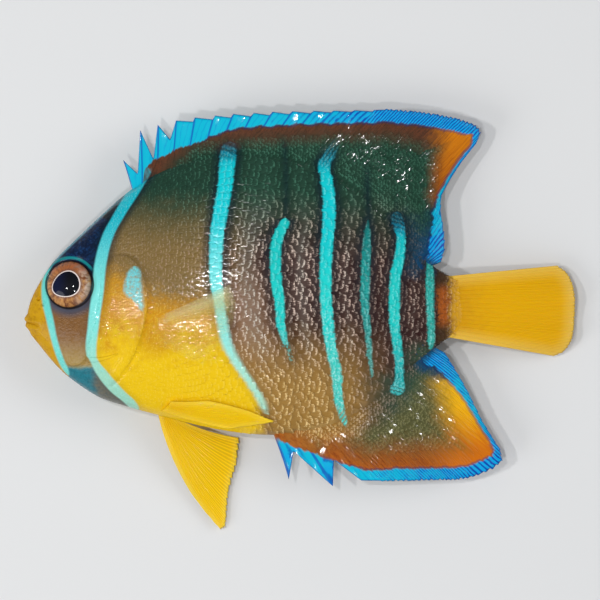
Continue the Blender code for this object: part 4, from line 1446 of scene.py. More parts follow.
def measures(k, place, root, crescent, random):
    """Places on the fish, exact and softened by slow noise, two noises, and the gaps to the bars."""
    wander = k.less(k.noise(place, 0.9), 0.5)
    fine = k.less(k.noise(place, 4.0), 0.5)
    s, h, _ = k.split(place)
    root_s, root_h, _ = k.split(root)
    stepped_s = k.add(k.times(s, 1 - SCALE_ROOT_SHARE), k.times(root_s, SCALE_ROOT_SHARE))
    stepped_s = k.sum("MULTIPLY_ADD", fine, 0.22, stepped_s)
    stepped_h = k.add(k.times(h, 1 - SCALE_ROOT_SHARE), k.times(root_h, SCALE_ROOT_SHARE))
    gaps = {}
    for name, points in BARS.items():
        places = (s, h) if name in SMOOTH_BARS else (stepped_s, stepped_h)
        gaps[name] = bar_distance(k, points, *places)
    return SimpleNamespace(
        s=s, h=h, s_soft=k.add(s, k.times(wander, 2.4)), h_soft=k.add(h, k.times(wander, -2.4)),
        wander=wander, fine=fine, crescent=crescent, random=random, gaps=gaps)


# %% [markdown]
# The ground goes from a yellow snout and breast over an olive shoulder to a maroon and green rear.
# On the trunk each point is a mix of a dark and a light paint. The light one shows on the rims of the
# scales, and noise breaks the rims up into a speckle.

# %% Ground of the trunk
def trunk_paints(k, at, by_bar, between_bars):
    """The dark and the light paint, from place to place."""
    s, s_soft, h_soft = at.s, at.s_soft, at.h_soft
    rear = k.ease(17.5, 24.5, s_soft)
    dark = k.mix(rear, GROUND["shoulder_dark"], GROUND["rear_dark"])
    light = k.mix(rear, GROUND["shoulder_light"], GROUND["rear_light"])
    behind_bar = k.times(k.ease(19.0, 20.0, s), k.ease(28.0, 21.5, s_soft))
    near_shoulder = k.times(behind_bar, k.ease(5.5, 0.0, h_soft))
    dark = k.mix(near_shoulder, dark, GROUND["front_tan_dark"])
    light = k.mix(near_shoulder, light, GROUND["front_tan_light"])
    low_front = k.times(k.ease(0.0, -9.0, h_soft), k.ease(38.5, 31.0, s_soft))
    dark = k.mix(low_front, dark, GROUND["belly_dark"])
    light = k.mix(low_front, light, GROUND["belly_light"])
    light = k.mix(k.times(k.ease(30.0, 36.5, s_soft), 0.6), light, (0.16, 0.1, 0.075))
    dark = k.mix(k.times(by_bar, k.ease(-4.5, 1.0, h_soft, 0.0, 0.8)), dark, (0.022, 0.007, 0.006))
    cool = k.times(between_bars, k.ease(-7.0, -2.0, h_soft, 0.0, 0.6))
    light = k.mix(cool, light, (0.6, 0.66, 0.58))
    reddish = k.ease(0.0, 1.0, k.add(at.random, k.times(at.fine, 1.5)), 0.0, 0.5)
    light = k.mix(reddish, light, (0.2, 0.09, 0.06))
    high = k.ease(green_from(k, s), 12.5, h_soft)
    return k.mix(high, dark, GROUND["back_dark"]), k.mix(high, light, GROUND["back_light"])


def green_from(k, s):
    """Height where the dark green of the back begins: lower towards the tail."""
    line = ((8.0, 6.5), (14.0, 5.0), (20.0, 4.8), (26.0, 4.6), (34.0, 3.6), (42.0, 2.5))
    return k.curve(s, line, (8.0, 42.0), (0.0, 12.0))


def trunk(k, at):
    """Speckled flank, with navy above and teal below on the way to the tail."""
    s_soft, h_soft = at.s_soft, at.h_soft
    nearest = 9.0
    for name in TRUNK_BARS:
        nearest = k.sum("MINIMUM", nearest, at.gaps[name][0])
    by_bar = k.times(k.ease(1.5, 0.2, nearest), k.ease(17.0, 21.0, at.s))
    between_bars = k.times(k.ease(0.9, 2.2, nearest), k.ease(20.0, 22.5, at.s))
    dark, light = trunk_paints(k, at, by_bar, between_bars)
    patchy = k.add(k.times(at.fine, 1.2), k.less(at.random, 0.5))
    shine = k.times(k.ease(-0.6, 0.3, patchy, 0.25, 1.0), k.flip(k.times(by_bar, 0.55)))
    shine = k.times(shine, k.ease(10.0, 20.0, at.s, 0.45, 1.0))
    share = k.sum("MULTIPLY_ADD", at.random, 0.06, k.times(at.crescent, shine), clamp=True)
    share = k.add(share, k.times(between_bars, k.ease(-8.0, -2.0, h_soft, 0.0, 0.08)))
    share = k.most(share, k.times(k.ease(0.12, 0.3, at.fine), 0.25))
    ground = k.mix(share, dark, light)
    upper_rear = k.times(k.ease(37.6, 39.6, s_soft), k.ease(2.4, 4.2, h_soft))
    upper_rear = k.times(upper_rear, k.ease(11.0, 8.5, h_soft))
    lower_rear = k.times(k.ease(37.9, 39.8, s_soft), k.ease(-2.8, -4.6, at.h))
    lower_green = k.times(k.ease(33.0, 38.5, s_soft), k.ease(-5.5, -8.0, h_soft))
    ground = k.mix(k.times(lower_green, 0.75), ground, GROUND["teal"])
    speckled = k.ease(-0.25, 0.2, at.fine, 0.45, 0.95)
    ground = k.mix(k.times(upper_rear, speckled), ground, GROUND["navy"])
    return k.mix(k.times(lower_rear, speckled), ground, GROUND["teal"])


# %% Ground of breast, head and tail root
YELLOW_UP_TO = (
    (6.0, 4.2), (9.0, 3.0), (12.0, 1.2), (15.0, 0.2), (19.0, -0.6), (23.0, -5.5), (26.0, -12.5),
)


def with_breast(k, at, ground):
    """Yellow below a falling line, with orange clouds and a spot at the root of the breast fin."""
    above = k.less(at.h_soft, k.curve(at.s, YELLOW_UP_TO, (6.0, 26.0), (-14.0, 6.0)))
    mask = k.times(k.ease(2.4, -1.8, k.add(above, k.times(at.fine, 2.0))), k.ease(24.6, 22.8, at.s_soft))
    mask = k.times(mask, k.ease(0.45, 0.0, at.gaps["shoulder"][1]))
    clouds = k.ease(-0.25, 0.35, k.add(at.wander, k.ease(-8.0, 2.0, at.h, -0.3, 0.35)))
    yellow = k.mix(clouds, GROUND["yellow"], GROUND["orange"])
    spot = k.ease(1.3, 0.2, k.add(ring_distance(k, at.s, at.h, 13.4, -3.0, 2.3, 2.1), at.wander))
    yellow = k.mix(k.times(spot, 0.65), yellow, (0.5, 0.21, 0.003))
    yellow = k.mix(k.times(at.crescent, 0.3), yellow, (0.9, 0.66, 0.08))
    return k.mix(mask, ground, yellow)


def brow_paint(k, at):
    """Navy forehead with a black nape and a light line along its upper edge."""
    brow = k.mix(k.ease(-0.1, 0.25, k.add(at.wander, at.fine)), GROUND["brow"], GROUND["brow_light"])
    nape = k.ease(1.15, 0.85, ring_distance(k, at.s, at.h, 8.75, 10.15, 1.5, 1.25))
    brow = k.mix(nape, brow, GROUND["nape"])
    outline = [(x, float(back_line(x))) for x in np.linspace(0.0, 9.0, 10)]
    top = k.curve(at.s, outline, (0.0, 9.0), (-1.0, 12.0))
    return k.mix(k.times(k.ease(0.5, 0.12, k.less(top, at.h)), 0.6), brow, (0.16, 0.5, 0.62))


def cheek_paint(k, at):
    """Brown cheek, bluish under the eye, with a yellow line below the forehead."""
    cheek = k.mix(k.ease(-2.5, -5.8, at.h), GROUND["cheek"], GROUND["cheek_low"])
    cheek = k.mix(k.ease(-0.3, 0.3, at.fine, 0.0, 0.35), cheek, (0.32, 0.17, 0.06))
    under_eye = k.ease(3.7, 2.6, ring_distance(k, at.s, at.h, *EYE_PLACE, 1.0, 1.0))
    cheek = k.mix(k.times(under_eye, 0.75), cheek, (0.03, 0.07, 0.13))
    line = k.curve(at.s, ((3.0, 5.9), (5.0, 6.15), (7.5, 5.8)), (3.0, 7.5), (5.0, 7.0))
    edge_line = k.ease(0.28, 0.05, k.size(k.add(at.h, line)))
    return k.mix(k.times(edge_line, 0.6), cheek, (0.6, 0.42, 0.02))


def with_head(k, at, ground):
    """Forehead, cheek, blue chin and yellow snout, all in front of the cheek's bar."""
    head = k.mix(k.ease(0.6, 2.6, at.h), cheek_paint(k, at), brow_paint(k, at))
    under_chin = k.ease(6.3, 7.6, k.add(at.s, k.times(at.wander, 1.5)))
    under_chin = k.mix(under_chin, GROUND["chin"], (0.16, 0.15, 0.11))
    under_chin = k.mix(k.ease(-0.2, 0.3, at.fine, 0.0, 0.5), under_chin, (0.008, 0.06, 0.09))
    head = k.mix(k.ease(-5.7, -6.3, k.add(at.h, k.times(at.wander, 0.6))), head, under_chin)
    snout = k.ease(-0.1, 0.35, k.add(at.wander, at.fine))
    snout = k.mix(snout, GROUND["snout"], (0.4, 0.19, 0.006))
    head = k.mix(k.ease(0.05, -0.15, at.gaps["snout"][1]), head, snout)
    return k.mix(k.ease(0.1, -0.1, at.gaps["cheek"][1]), ground, head)


def with_tail_root(k, at, ground):
    """A ragged rust band between the trunk and the yellow tail."""
    ragged = k.add(at.s, k.add(k.times(at.wander, 1.6), k.times(at.fine, 0.9)))
    rust = k.times(k.ease(41.2, 41.9, ragged), k.ease(43.6, 42.4, ragged))
    paint = k.mix(k.ease(1.2, 2.6, k.size(k.less(at.h, 0.2))), GROUND["rust"], (0.05, 0.025, 0.008))
    paint = k.mix(k.ease(42.1, 41.5, ragged), paint, (0.02, 0.01, 0.006))
    paint = k.mix(k.ease(0.05, -0.25, at.fine, 0.0, 0.6), paint, (0.05, 0.015, 0.006))
    ground = k.mix(k.ease(42.2, 44.2, ragged), ground, GROUND["tail"])
    return k.mix(k.times(rust, 0.92), ground, paint)


# %% Bars and eye lines over the ground
def bar_mask(k, at, name):
    """Where a bar shows: soft at the edge, patchy where it is faint, combed at a long bar's ends."""
    s, h, fine = at.s, at.h, at.fine
    gap = at.gaps[name][0]
    if name == "gill":
        return k.times(k.ease(0.3, -0.25, gap), k.ease(-0.25, 0.1, fine, 0.25, 0.95))
    soft = k.ease(3.0, -4.0, h, 0.14, 0.34) if name == "shoulder" else 0.14
    mask = k.ease(soft, k.times(soft, -1.0), gap)
    if name in ("second_short", "tail_base"):
        mask = k.times(mask, k.ease(-0.35, 0.15, fine, 0.35, 0.95))
    if name == "first_short":
        mask = k.times(mask, k.ease(-0.3, 0.1, k.add(fine, k.ease(-4.5, -1.0, h, -0.2, 0.4))))
    if name in COMBED:
        slant, density, top, bottom = COMBED[name]
        teeth = k.times(k.add(k.add(h, k.times(s, slant)), k.times(fine, 0.7)), density)
        teeth = k.ease(-0.5, 0.7, k.sum("SINE", teeth))
        at_end = k.most(k.ease(*top, h), k.ease(*bottom, h))
        mask = k.times(mask, k.flip(k.times(k.times(teeth, at_end), 0.7)))
        mask = k.times(mask, k.ease(top[1] + 0.6, top[0], h, 0.25, 1.0))
    return mask


def bar_paint(k, at, name):
    """Turquoise that turns bluer upwards, with pale flecks below."""
    h = at.h
    low, middle, high = BAR_COLOURS[name]
    paint = k.mix(k.ease(1.0, 10.0, h), k.mix(k.ease(-7.5, -0.5, h), low, middle), high)
    if name in COMBED:
        top = COMBED[name][2]
        paint = k.mix(k.ease(top[0] - 0.6, top[1], h, 0.0, 0.8), paint, (0.003, 0.26, 0.46))
    pale = 0.9 if name in ("gill", "shoulder", "middle") else 0.4
    flecks = k.times(k.ease(4.0, -4.0, h, 0.0, pale), k.ease(-0.05, 0.3, at.fine))
    paint = k.mix(flecks, paint, (0.45, 0.82, 0.76))
    clouds = k.times(k.ease(0.0, 0.25, k.less(at.wander, 0.08)), 0.25)
    paint = k.mix(clouds, paint, (0.004, 0.34, 0.4))
    return k.mix(k.times(at.crescent, 0.25), paint, (0.3, 0.85, 0.82))


def with_bar(k, at, name, colour):
    """The colour with one bar and its dark rim on it, and where the bar is."""
    mask = bar_mask(k, at, name)
    if name not in ("snout", "gill"):
        shade = k.times(k.ease(1.1, 0.0, at.gaps[name][0]), k.ease(-4.0, 9.0, at.h, 0.15, 0.75))
        if name == "cheek":
            shade = k.times(shade, k.ease(3.5, 7.5, at.s))
        rim = (0.02, 0.01, 0.008) if name == "tail_base" else (0.001, 0.012, 0.022)
        colour = k.mix(shade, colour, rim)
    return k.mix(mask, colour, bar_paint(k, at, name)), mask


def with_eye_lines(k, at, colour):
    """A dark outline round the eye and a teal line over it."""
    away = ring_distance(k, at.s, at.h, *EYE_PLACE, 1.0, 1.0)
    outline = k.ease(0.16, 0.05, k.size(k.less(away, 2.42)))
    colour = k.mix(k.times(outline, 0.9), colour, (0.012, 0.01, 0.012))
    brow_line = k.times(k.ease(0.2, 0.08, k.size(k.less(away, 2.74))), k.ease(3.6, 4.3, at.h))
    return k.mix(brow_line, colour, (0.006, 0.2, 0.22))


# %% Put the markings together
def markings_group():
    """A node group: places in millimetres and a scale's light share go in, the coat's colour out."""
    group = bpy.data.node_groups.new("markings", "ShaderNodeTree")
    for name in ("Place", "Root"):
        group.interface.new_socket(name, in_out="INPUT", socket_type="NodeSocketVector")
    for name in ("Crescent", "Random"):
        group.interface.new_socket(name, in_out="INPUT", socket_type="NodeSocketFloat")
    group.interface.new_socket("Color", in_out="OUTPUT", socket_type="NodeSocketColor")
    group.interface.new_socket("Bar", in_out="OUTPUT", socket_type="NodeSocketFloat")
    k = Recipe(group)
    given = k.node("NodeGroupInput")
    at = measures(k, *(given.outputs[i] for i in range(4)))
    colour = trunk(k, at)
    for step in (with_breast, with_head, with_tail_root):
        colour = step(k, at, colour)
    any_bar = 0.0
    for name in BARS:
        colour, mask = with_bar(k, at, name, colour)
        any_bar = k.most(any_bar, mask)
    result = k.node("NodeGroupOutput")
    k.put(result.inputs["Color"], with_eye_lines(k, at, colour))
    k.put(result.inputs["Bar"], any_bar)
    return group


markings = markings_group()
print("nodes of the markings:", len(markings.nodes))

# %% From Blender places to fish places
def fish_place(k, position):
    """Object coordinates in metres to (s, h, w) in millimetres."""
    made = k.node("ShaderNodeVectorMath", operation="MULTIPLY_ADD")
    k.put(made.inputs[0], position)
    made.inputs[1].default_value = (1 / MM,) * 3
    made.inputs[2].default_value = (CENTRE_S, CENTRE_H, -MIDPLANE_HEIGHT)
    return made.outputs[0]


def paint_markings(k, position, root, crescent, random):
    made = k.node("ShaderNodeGroup", node_tree=markings)
    k.put(made.inputs["Place"], position)
    k.put(made.inputs["Root"], root)
    k.put(made.inputs["Crescent"], crescent)
    k.put(made.inputs["Random"], random)
    return made.outputs["Color"], made.outputs["Bar"]


def object_place(k):
    return fish_place(k, k.node("ShaderNodeTexCoord").outputs["Object"])


def wet(shader, roughness=0.5, coat=0.3, coat_roughness=0.12):
    """The shine of a fish just out of water."""
    shader.inputs["Roughness"].default_value = roughness
    shader.inputs["Specular IOR Level"].default_value = 0.05
    shader.inputs["Coat Weight"].default_value = coat
    shader.inputs["Coat Roughness"].default_value = coat_roughness
    shader.inputs["Coat IOR"].default_value = 1.33
    shader.inputs["Metallic"].default_value = 0.0


def relief(k, shader, height, distance, strength=1.0):
    made = k.node("ShaderNodeBump")
    made.inputs["Strength"].default_value = strength
    made.inputs["Distance"].default_value = distance
    k.put(made.inputs["Height"], height)
    k.put(shader.inputs["Normal"], made.outputs["Normal"])
    k.put(shader.inputs["Coat Normal"], made.outputs["Normal"])


# %% Skin and scales
def skin_material():
    made, k, shader = new_material("wet_skin")
    place = object_place(k)
    colour, _ = paint_markings(k, place, place, 0.25, 0.3)
    k.put(shader.inputs["Base Color"], colour)
    grain = k.noise(place, 2.4, 2.0, 0.5)
    relief(k, shader, grain, 0.00002, 0.35)
    wet(shader)
    return made


def crescent_of(k):
    """The pale rim of a scale, its bowed share along the scale, and the scale's own random number."""
    p, q, random = k.split(k.stored("scale"))
    bowed = k.add(q, k.times(k.times(p, p), 0.1))
    off = k.size(k.less(p, k.times(k.less(random, 0.5), 0.9)))
    teeth = k.sum("SINE", k.add(k.times(p, 16.0), k.times(random, 40.0)))
    toothed = k.times(k.ease(0.1, 0.9, teeth, 0.0, 0.28), k.ease(0.66, 0.85, bowed))
    edge = k.sum("MINIMUM", k.add(k.ease(0.83, 0.91, bowed), toothed), 1.0)
    return k.times(edge, k.ease(1.15, 0.55, off)), bowed, random


def scale_material():
    made, k, shader = new_material("wet_scales")
    place = object_place(k)
    root = fish_place(k, k.stored("root"))
    crescent, bowed, random = crescent_of(k)
    broken_up = k.ease(0.42, 0.57, k.noise(place, 7.0, 2.0), 0.08, 1.25)
    crescent = k.times(crescent, broken_up)
    colour, _ = paint_markings(k, place, root, crescent, random)
    k.put(shader.inputs["Base Color"], colour)
    rings = k.sum("SINE", k.times(bowed, 60.0))
    grain = k.add(k.times(rings, 0.04), k.noise(place, 2.6, 2.0, 0.5))
    relief(k, shader, grain, 0.00002, 0.4)
    wet(shader, 0.5, 0.7, 0.06)
    return made


finish_piece(skin, skin_material(), "olive_skin", "head", "lower_jaw", "torso", "tail_stalk",
             "gill_cover_left", "gill_cover_right")
coat_material = scale_material()
for piece in scales:
    finish_piece(piece, coat_material, "olive_skin")


# %% [markdown]
# The back and anal fins share one recipe: a scaled base in the flank's own colours, a warm band, and a
# bright blue edge. Each measure below is a curve over the places along the fin's free edge, from 0 at
# the front to 1 at the rear. In front the bright edge ends at a line of its own, the front line.

# %% Measures of the two dark fins
DORSAL_FRONT = (
    (9.5, 9.5), (11.6, 11.8), (12.1, 14.2), (12.8, 15.0), (14.0, 15.5), (15.2, 16.2), (16.8, 16.7),
    (18.7, 17.4), (21.2, 18.2), (24.0, 18.8),
)
DORSAL_EDGE = (
    (0.0, 2.5), (0.06, 2.4), (0.114, 2.4), (0.141, 1.7), (0.17, 1.5), (0.19, 1.6), (0.209, 0.9),
    (0.23, 1.1), (0.27, 1.2), (0.44, 1.15), (0.6, 1.2), (0.7, 1.25), (0.74, 1.1), (0.765, 0.6),
    (0.785, 0.28), (0.88, 0.3), (0.9, 0.6), (0.93, 1.2), (0.97, 1.7), (1.0, 1.2),
)
DORSAL_BLUE = (
    (0.0, 0.0), (0.3, 0.05), (0.44, 0.25), (0.54, 0.55), (0.7, 0.85), (0.8, 0.7), (0.9, 0.25),
    (0.925, 0.3), (0.955, 0.8), (1.0, 1.0),
)
DORSAL_LOOK = SimpleNamespace(
    spine_end=0.5, navy_from=(0.875, 0.915), front_line=DORSAL_FRONT, way_out=1.0,
    front_fades=(23.0, 18.0), edge_width=DORSAL_EDGE, blueness=DORSAL_BLUE,
    band_width=DORSAL_BAND, softness=1.3, lobe_from=(39.5, 43.0), lobe_level=14.0,
    lobe_tilt=-0.25, lobe_inner=(9.6, 11.0), lobe_lighter=0.06,
    base_colours=((0.008, 0.036, 0.021), (0.03, 0.11, 0.066)),
    band_colours=((0.04, 0.022, 0.012), (0.15, 0.045, 0.02)),
    lobe_colours=((0.22, 0.04, 0.004), (0.6, 0.19, 0.003)))
ANAL_FRONT = (
    (24.9, -12.3), (25.3, -12.9), (26.3, -13.7), (27.8, -14.3), (29.7, -15.1), (31.4, -15.6),
    (32.4, -16.0), (34.0, -16.5), (36.0, -16.9),
)
ANAL_EDGE = (
    (0.0, 0.25), (0.05, 0.6), (0.09, 1.4), (0.125, 0.5), (0.141, 0.04), (0.16, 0.3), (0.2, 0.6),
    (0.233, 1.6), (0.265, 0.7), (0.279, 0.08), (0.3, 0.4), (0.33, 1.0), (0.45, 1.15), (0.6, 1.1),
    (0.68, 1.1), (0.72, 0.6), (0.75, 0.4), (0.82, 0.5), (0.88, 0.8), (0.93, 1.25), (1.0, 2.0),
)
ANAL_BLUE = (
    (0.0, 0.2), (0.13, 0.5), (0.16, 0.15), (0.26, 0.6), (0.3, 0.2), (0.45, 0.4), (0.58, 0.6),
    (0.68, 0.9), (0.76, 0.6), (0.86, 0.35), (0.94, 0.6), (1.0, 0.9),
)
ANAL_LOOK = SimpleNamespace(
    spine_end=0.31, navy_from=(0.9, 0.97), front_line=ANAL_FRONT, way_out=-1.0,
    front_fades=(35.5, 31.5), edge_width=ANAL_EDGE, blueness=ANAL_BLUE,
    band_width=ANAL_BAND, softness=2.2, lobe_from=(39.2, 43.4), lobe_level=-12.0,
    lobe_tilt=0.25, lobe_inner=(-6.6, -7.8), lobe_lighter=0.14,
    base_colours=((0.075, 0.075, 0.024), (0.2, 0.19, 0.08)),
    band_colours=((0.18, 0.034, 0.005), (0.5, 0.125, 0.008)),
    lobe_colours=((0.56, 0.14, 0.003), (0.84, 0.44, 0.004)))
print("points along the edges:", len(DORSAL_EDGE), len(ANAL_EDGE))


# %% Dark fins
FIN_EDGE = (0.002, 0.45, 0.62)
FIN_EDGE_BLUE = (0.002, 0.15, 0.52)


def fin_measures(k):
    """The place on the fish, and what each point of a fin has stored: ray, way along it, edge."""
    place = object_place(k)
    s, h, _ = k.split(place)
    r, along, edge = k.split(k.stored("fin"))
    return SimpleNamespace(
        place=place, s=s, h=h, r=r, along=along, edge=edge, share=k.stored("rim", "Fac"),
        streak=k.sum("SINE", k.times(r, 2 * math.pi * 4)))


def fin_base(k, at, look):
    """Light rims on dark scales. The flank's colours run on into it, and its bars over it."""
    crescent, _, random = crescent_of(k)
    on_body, bar = paint_markings(k, at.place, at.place, crescent, random)
    rims = k.add(k.times(crescent, k.ease(0.3, 0.7, at.speckle, 0.2, 0.9)), k.times(random, 0.1))
    base = k.mix(rims, *look.base_colours)
    base = k.mix(k.ease(3.2, 0.6, k.add(at.out_of_body, k.times(at.wander, 2.0))), base, on_body)
    return k.mix(bar, base, on_body)


def with_band(k, at, look, base):
    """The warm band, which turns orange in the fin's rear lobe."""
    grain = k.add(k.times(k.less(at.speckle, 0.5), 0.5), k.times(at.fibres, 0.6))
    band = k.mix(k.ease(-0.25, 0.25, grain), *look.band_colours)
    over = k.less(at.h, look.lobe_level)
    lobe = k.add(k.times(at.fibres, 0.7), k.times(over, look.lobe_lighter))
    lobe = k.mix(k.ease(-0.4, 0.4, lobe), *look.lobe_colours)
    to_lobe = k.add(at.s, k.times(over, look.lobe_tilt))
    to_lobe = k.add(to_lobe, k.times(k.add(at.wander, at.fibres), 2.0))
    band = k.mix(k.ease(*look.lobe_from, to_lobe), band, lobe)
    band = k.mix(k.ease(*look.lobe_inner, k.add(at.h, at.wander)), base, band)
    width = k.curve(at.share, look.band_width, (0.0, 1.0), (0.0, 10.0))
    ragged = k.add(at.edge, k.add(k.times(at.wander, 1.2), k.times(at.fibres, look.softness)))
    return k.mix(k.ease(look.softness, -look.softness, k.less(ragged, width)), base, band)


def edge_gap(k, at, look):
    """Distance outside the bright edge, whose front part ends at the front line."""
    width = k.curve(at.share, look.edge_width, (0.0, 1.0), (0.0, 5.0), "VECTOR")
    inside = k.add(at.edge, k.add(k.times(at.wander, 0.25), k.times(at.fibres, 0.35)))
    gap = k.less(inside, width)
    line = look.front_line
    heights = [point[1] for point in line]
    line_h = k.curve(at.s, line, (line[0][0], line[-1][0]), (min(heights) - 1.0, max(heights) + 1.0))
    front_gap = k.times(k.less(line_h, at.h), look.way_out)
    front_gap = k.add(front_gap, k.times(k.add(at.wander, at.fibres), 0.6))
    return k.add(gap, k.times(k.less(front_gap, gap), k.ease(*look.front_fades, at.s)))


def edge_paint(k, at, look, blue):
    """Bright blue with deeper strokes along the rays and darker spines."""
    turn = k.add(k.times(k.add(at.r, k.times(at.edge, 0.12)), 6 * math.pi), k.times(at.wander, 5.0))
    stroke = k.sum("SINE", turn)
    strokes = k.ease(0.6, 1.1, k.add(stroke, at.fibres))
    bright = k.mix(k.times(strokes, k.add(k.times(blue, 0.6), 0.3)), FIN_EDGE, FIN_EDGE_BLUE)
    deep = k.ease(-0.2, 0.8, k.add(stroke, k.add(at.wander, at.fibres)))
    deep = k.mix(deep, (0.003, 0.34, 0.68), (0.002, 0.06, 0.38))
    bright = k.mix(k.ease(0.1, 0.75, k.add(blue, at.wander)), bright, deep)
    bright = k.mix(k.ease(0.14, 0.04, at.edge, 0.0, 0.6), bright, (0.002, 0.08, 0.4))
    off_spine = k.size(k.less(k.sum("FRACT", k.add(at.r, 0.5)), 0.5))
    spiny = k.ease(look.spine_end + 0.01, look.spine_end - 0.01, at.share)
    on_spine = k.times(k.ease(0.07, 0.03, off_spine), spiny)
    return k.mix(k.times(on_spine, 0.85), bright, (0.003, 0.11, 0.45))


def with_edge(k, at, look, colour):
    """The bright edge, a navy shade before it, and a thin dark line where it begins."""
    gap = edge_gap(k, at, look)
    blue = k.curve(at.share, look.blueness, (0.0, 1.0), (0.0, 1.0))
    by_edge = k.times(k.times(k.ease(1.4, 0.3, gap), blue), k.ease(*look.navy_from, at.share))
    colour = k.mix(by_edge, colour, (0.003, 0.05, 0.12))
    off_root = k.most(k.ease(0.0, 1.0, k.add(at.out_of_body, at.wander)), k.ease(13.1, 12.5, at.s))
    shown = k.times(k.ease(0.12, -0.12, gap), off_root)
    colour = k.mix(shown, colour, edge_paint(k, at, look, blue))
    line = k.times(k.ease(0.2, 0.0, k.size(k.less(gap, 0.1))), k.ease(0.22, 0.32, at.share))
    return k.mix(k.times(line, 0.5), colour, (0.003, 0.02, 0.1))


def dark_fin_material(name, look):
    """Base, band and edge, one over the other, with noise along the rays as fibres."""
    made, k, shader = new_material(name)
    at = fin_measures(k)
    at.out_of_body = k.stored("out_of_body", "Fac")
    at.wander = k.less(k.noise(at.place, 1.1), 0.5)
    at.speckle = k.noise(at.place, 7.0, 4.0, 0.7)
    along_rays = k.vector(k.times(at.r, 3.0), k.times(at.along, 3.0), 0.0)
    at.fibres = k.less(k.noise(along_rays, 2.0, 3.0), 0.5)
    colour = with_band(k, at, look, fin_base(k, at, look))
    k.put(shader.inputs["Base Color"], with_edge(k, at, look, colour))
    grain = k.add(k.times(at.streak, 0.12), k.noise(at.place, 2.4, 2.0, 0.5))
    relief(k, shader, grain, 0.00002, 0.35)
    wet(shader, 0.5, 0.4, 0.06)
    return made


dorsal_material = dark_fin_material("dorsal_colours", DORSAL_LOOK)
anal_material = dark_fin_material("anal_colours", ANAL_LOOK)
finish_piece(dorsal, dorsal_material, "dark_fin", "dorsal_fin_spiny", "dorsal_fin_soft")
finish_piece(anal, anal_material, "dark_fin", "anal_fin")
finish_piece(dorsal_scales, dorsal_material, "dark_fin")
finish_piece(anal_scales, anal_material, "dark_fin")


# %% Yellow fins
def see_through(k, at, opaque, front_rays):
    """Alpha of web and rays. With front_rays only the upper rays show, and the fan fades in."""
    alpha = k.ease(0.0, 0.9, at.streak, *opaque)
    if front_rays:
        in_front = k.ease(front_rays, 0.5, k.add(at.r, at.wander), 0.25, 1.0)
        alpha = k.times(k.times(alpha, in_front), k.ease(0.0, 0.18, at.along))
        alpha = k.times(alpha, k.ease(0.0, 0.9, at.edge, 0.3, 1.0))
    return alpha


def yellow_fin_material(name, root_colour, middle_colour, edge_colour, opaque, edge_from=2.0,
                        rust=False, front_rays=0.0):
    """Yellow rays in a thinner, paler web. opaque gives the alpha of web and rays; front_rays adds a
    painted highlight on the upper rays.
    """
    made, k, shader = new_material(name)
    at = fin_measures(k)
    at.wander = k.less(k.noise(at.place, 1.3), 0.5)
    to_middle = k.ease(0.0, 0.45, k.add(at.along, k.times(at.wander, 0.25)))
    colour = k.mix(to_middle, root_colour, middle_colour)
    grooves = k.times(k.ease(-0.2, -0.9, at.streak), k.ease(0.1, 0.5, at.along, 0.06, 0.2))
    colour = k.mix(grooves, colour, (0.6, 0.26, 0.002))
    colour = k.mix(k.ease(edge_from, 0.0, at.edge, 0.0, 0.75), colour, edge_colour)
    if rust:
        paint = k.ease(1.2, 2.6, k.size(k.less(at.h, 0.2)))
        paint = k.mix(paint, GROUND["rust"], (0.05, 0.025, 0.008))
        colour = k.mix(k.ease(43.7, 42.3, k.add(at.s, k.times(at.wander, 2.4))), colour, paint)
    if front_rays:
        # Pale streaks along the upper rays are a painted highlight: they stand in for glints of light on
        # the wet rays.
        painted_ray_glint = k.times(k.ease(0.3, 0.9, at.streak), k.ease(front_rays, 1.0, k.add(at.r, at.wander)))
        colour = k.mix(k.times(painted_ray_glint, 0.85), colour, (0.95, 0.9, 0.6))
    k.put(shader.inputs["Base Color"], colour)
    k.put(shader.inputs["Alpha"], see_through(k, at, opaque, front_rays))
    grain = k.add(k.times(at.streak, 0.15), k.noise(at.place, 2.4, 2.0, 0.5))
    relief(k, shader, grain, 0.00002, 0.4)
    shader.inputs["Subsurface Weight"].default_value = 0.15
    shader.inputs["Subsurface Radius"].default_value = (0.6, 0.3, 0.05)
    shader.inputs["Subsurface Scale"].default_value = 0.0006
    wet(shader, 0.45, 0.5, 0.08)
    return made


tail_material = yellow_fin_material(
    "tail_yellow", (0.62, 0.3, 0.006), (0.76, 0.4, 0.001), (0.8, 0.52, 0.08), (0.88, 1.0), 1.6,
    rust=True)
pectoral_material = yellow_fin_material(
    "pectoral_yellow", (0.74, 0.4, 0.003), (0.8, 0.56, 0.01), (0.86, 0.74, 0.26), (0.1, 0.95), 3.0,
    front_rays=6.0)
pelvic_material = yellow_fin_material(
    "pelvic_yellow", (0.84, 0.5, 0.002), (0.9, 0.56, 0.003), (0.9, 0.62, 0.04), (0.8, 1.0), 0.7)
finish_piece(tail, tail_material, "yellow_fin", "tail_fin")
finish_piece(pectoral_left, pectoral_material, "yellow_fin", "pectoral_fin_left")
finish_piece(pectoral_right, pectoral_material, "yellow_fin", "pectoral_fin_right")
finish_piece(pelvic_left, pelvic_material, "yellow_fin", "pelvic_fin_left")
finish_piece(pelvic_right, pelvic_material, "yellow_fin", "pelvic_fin_right")


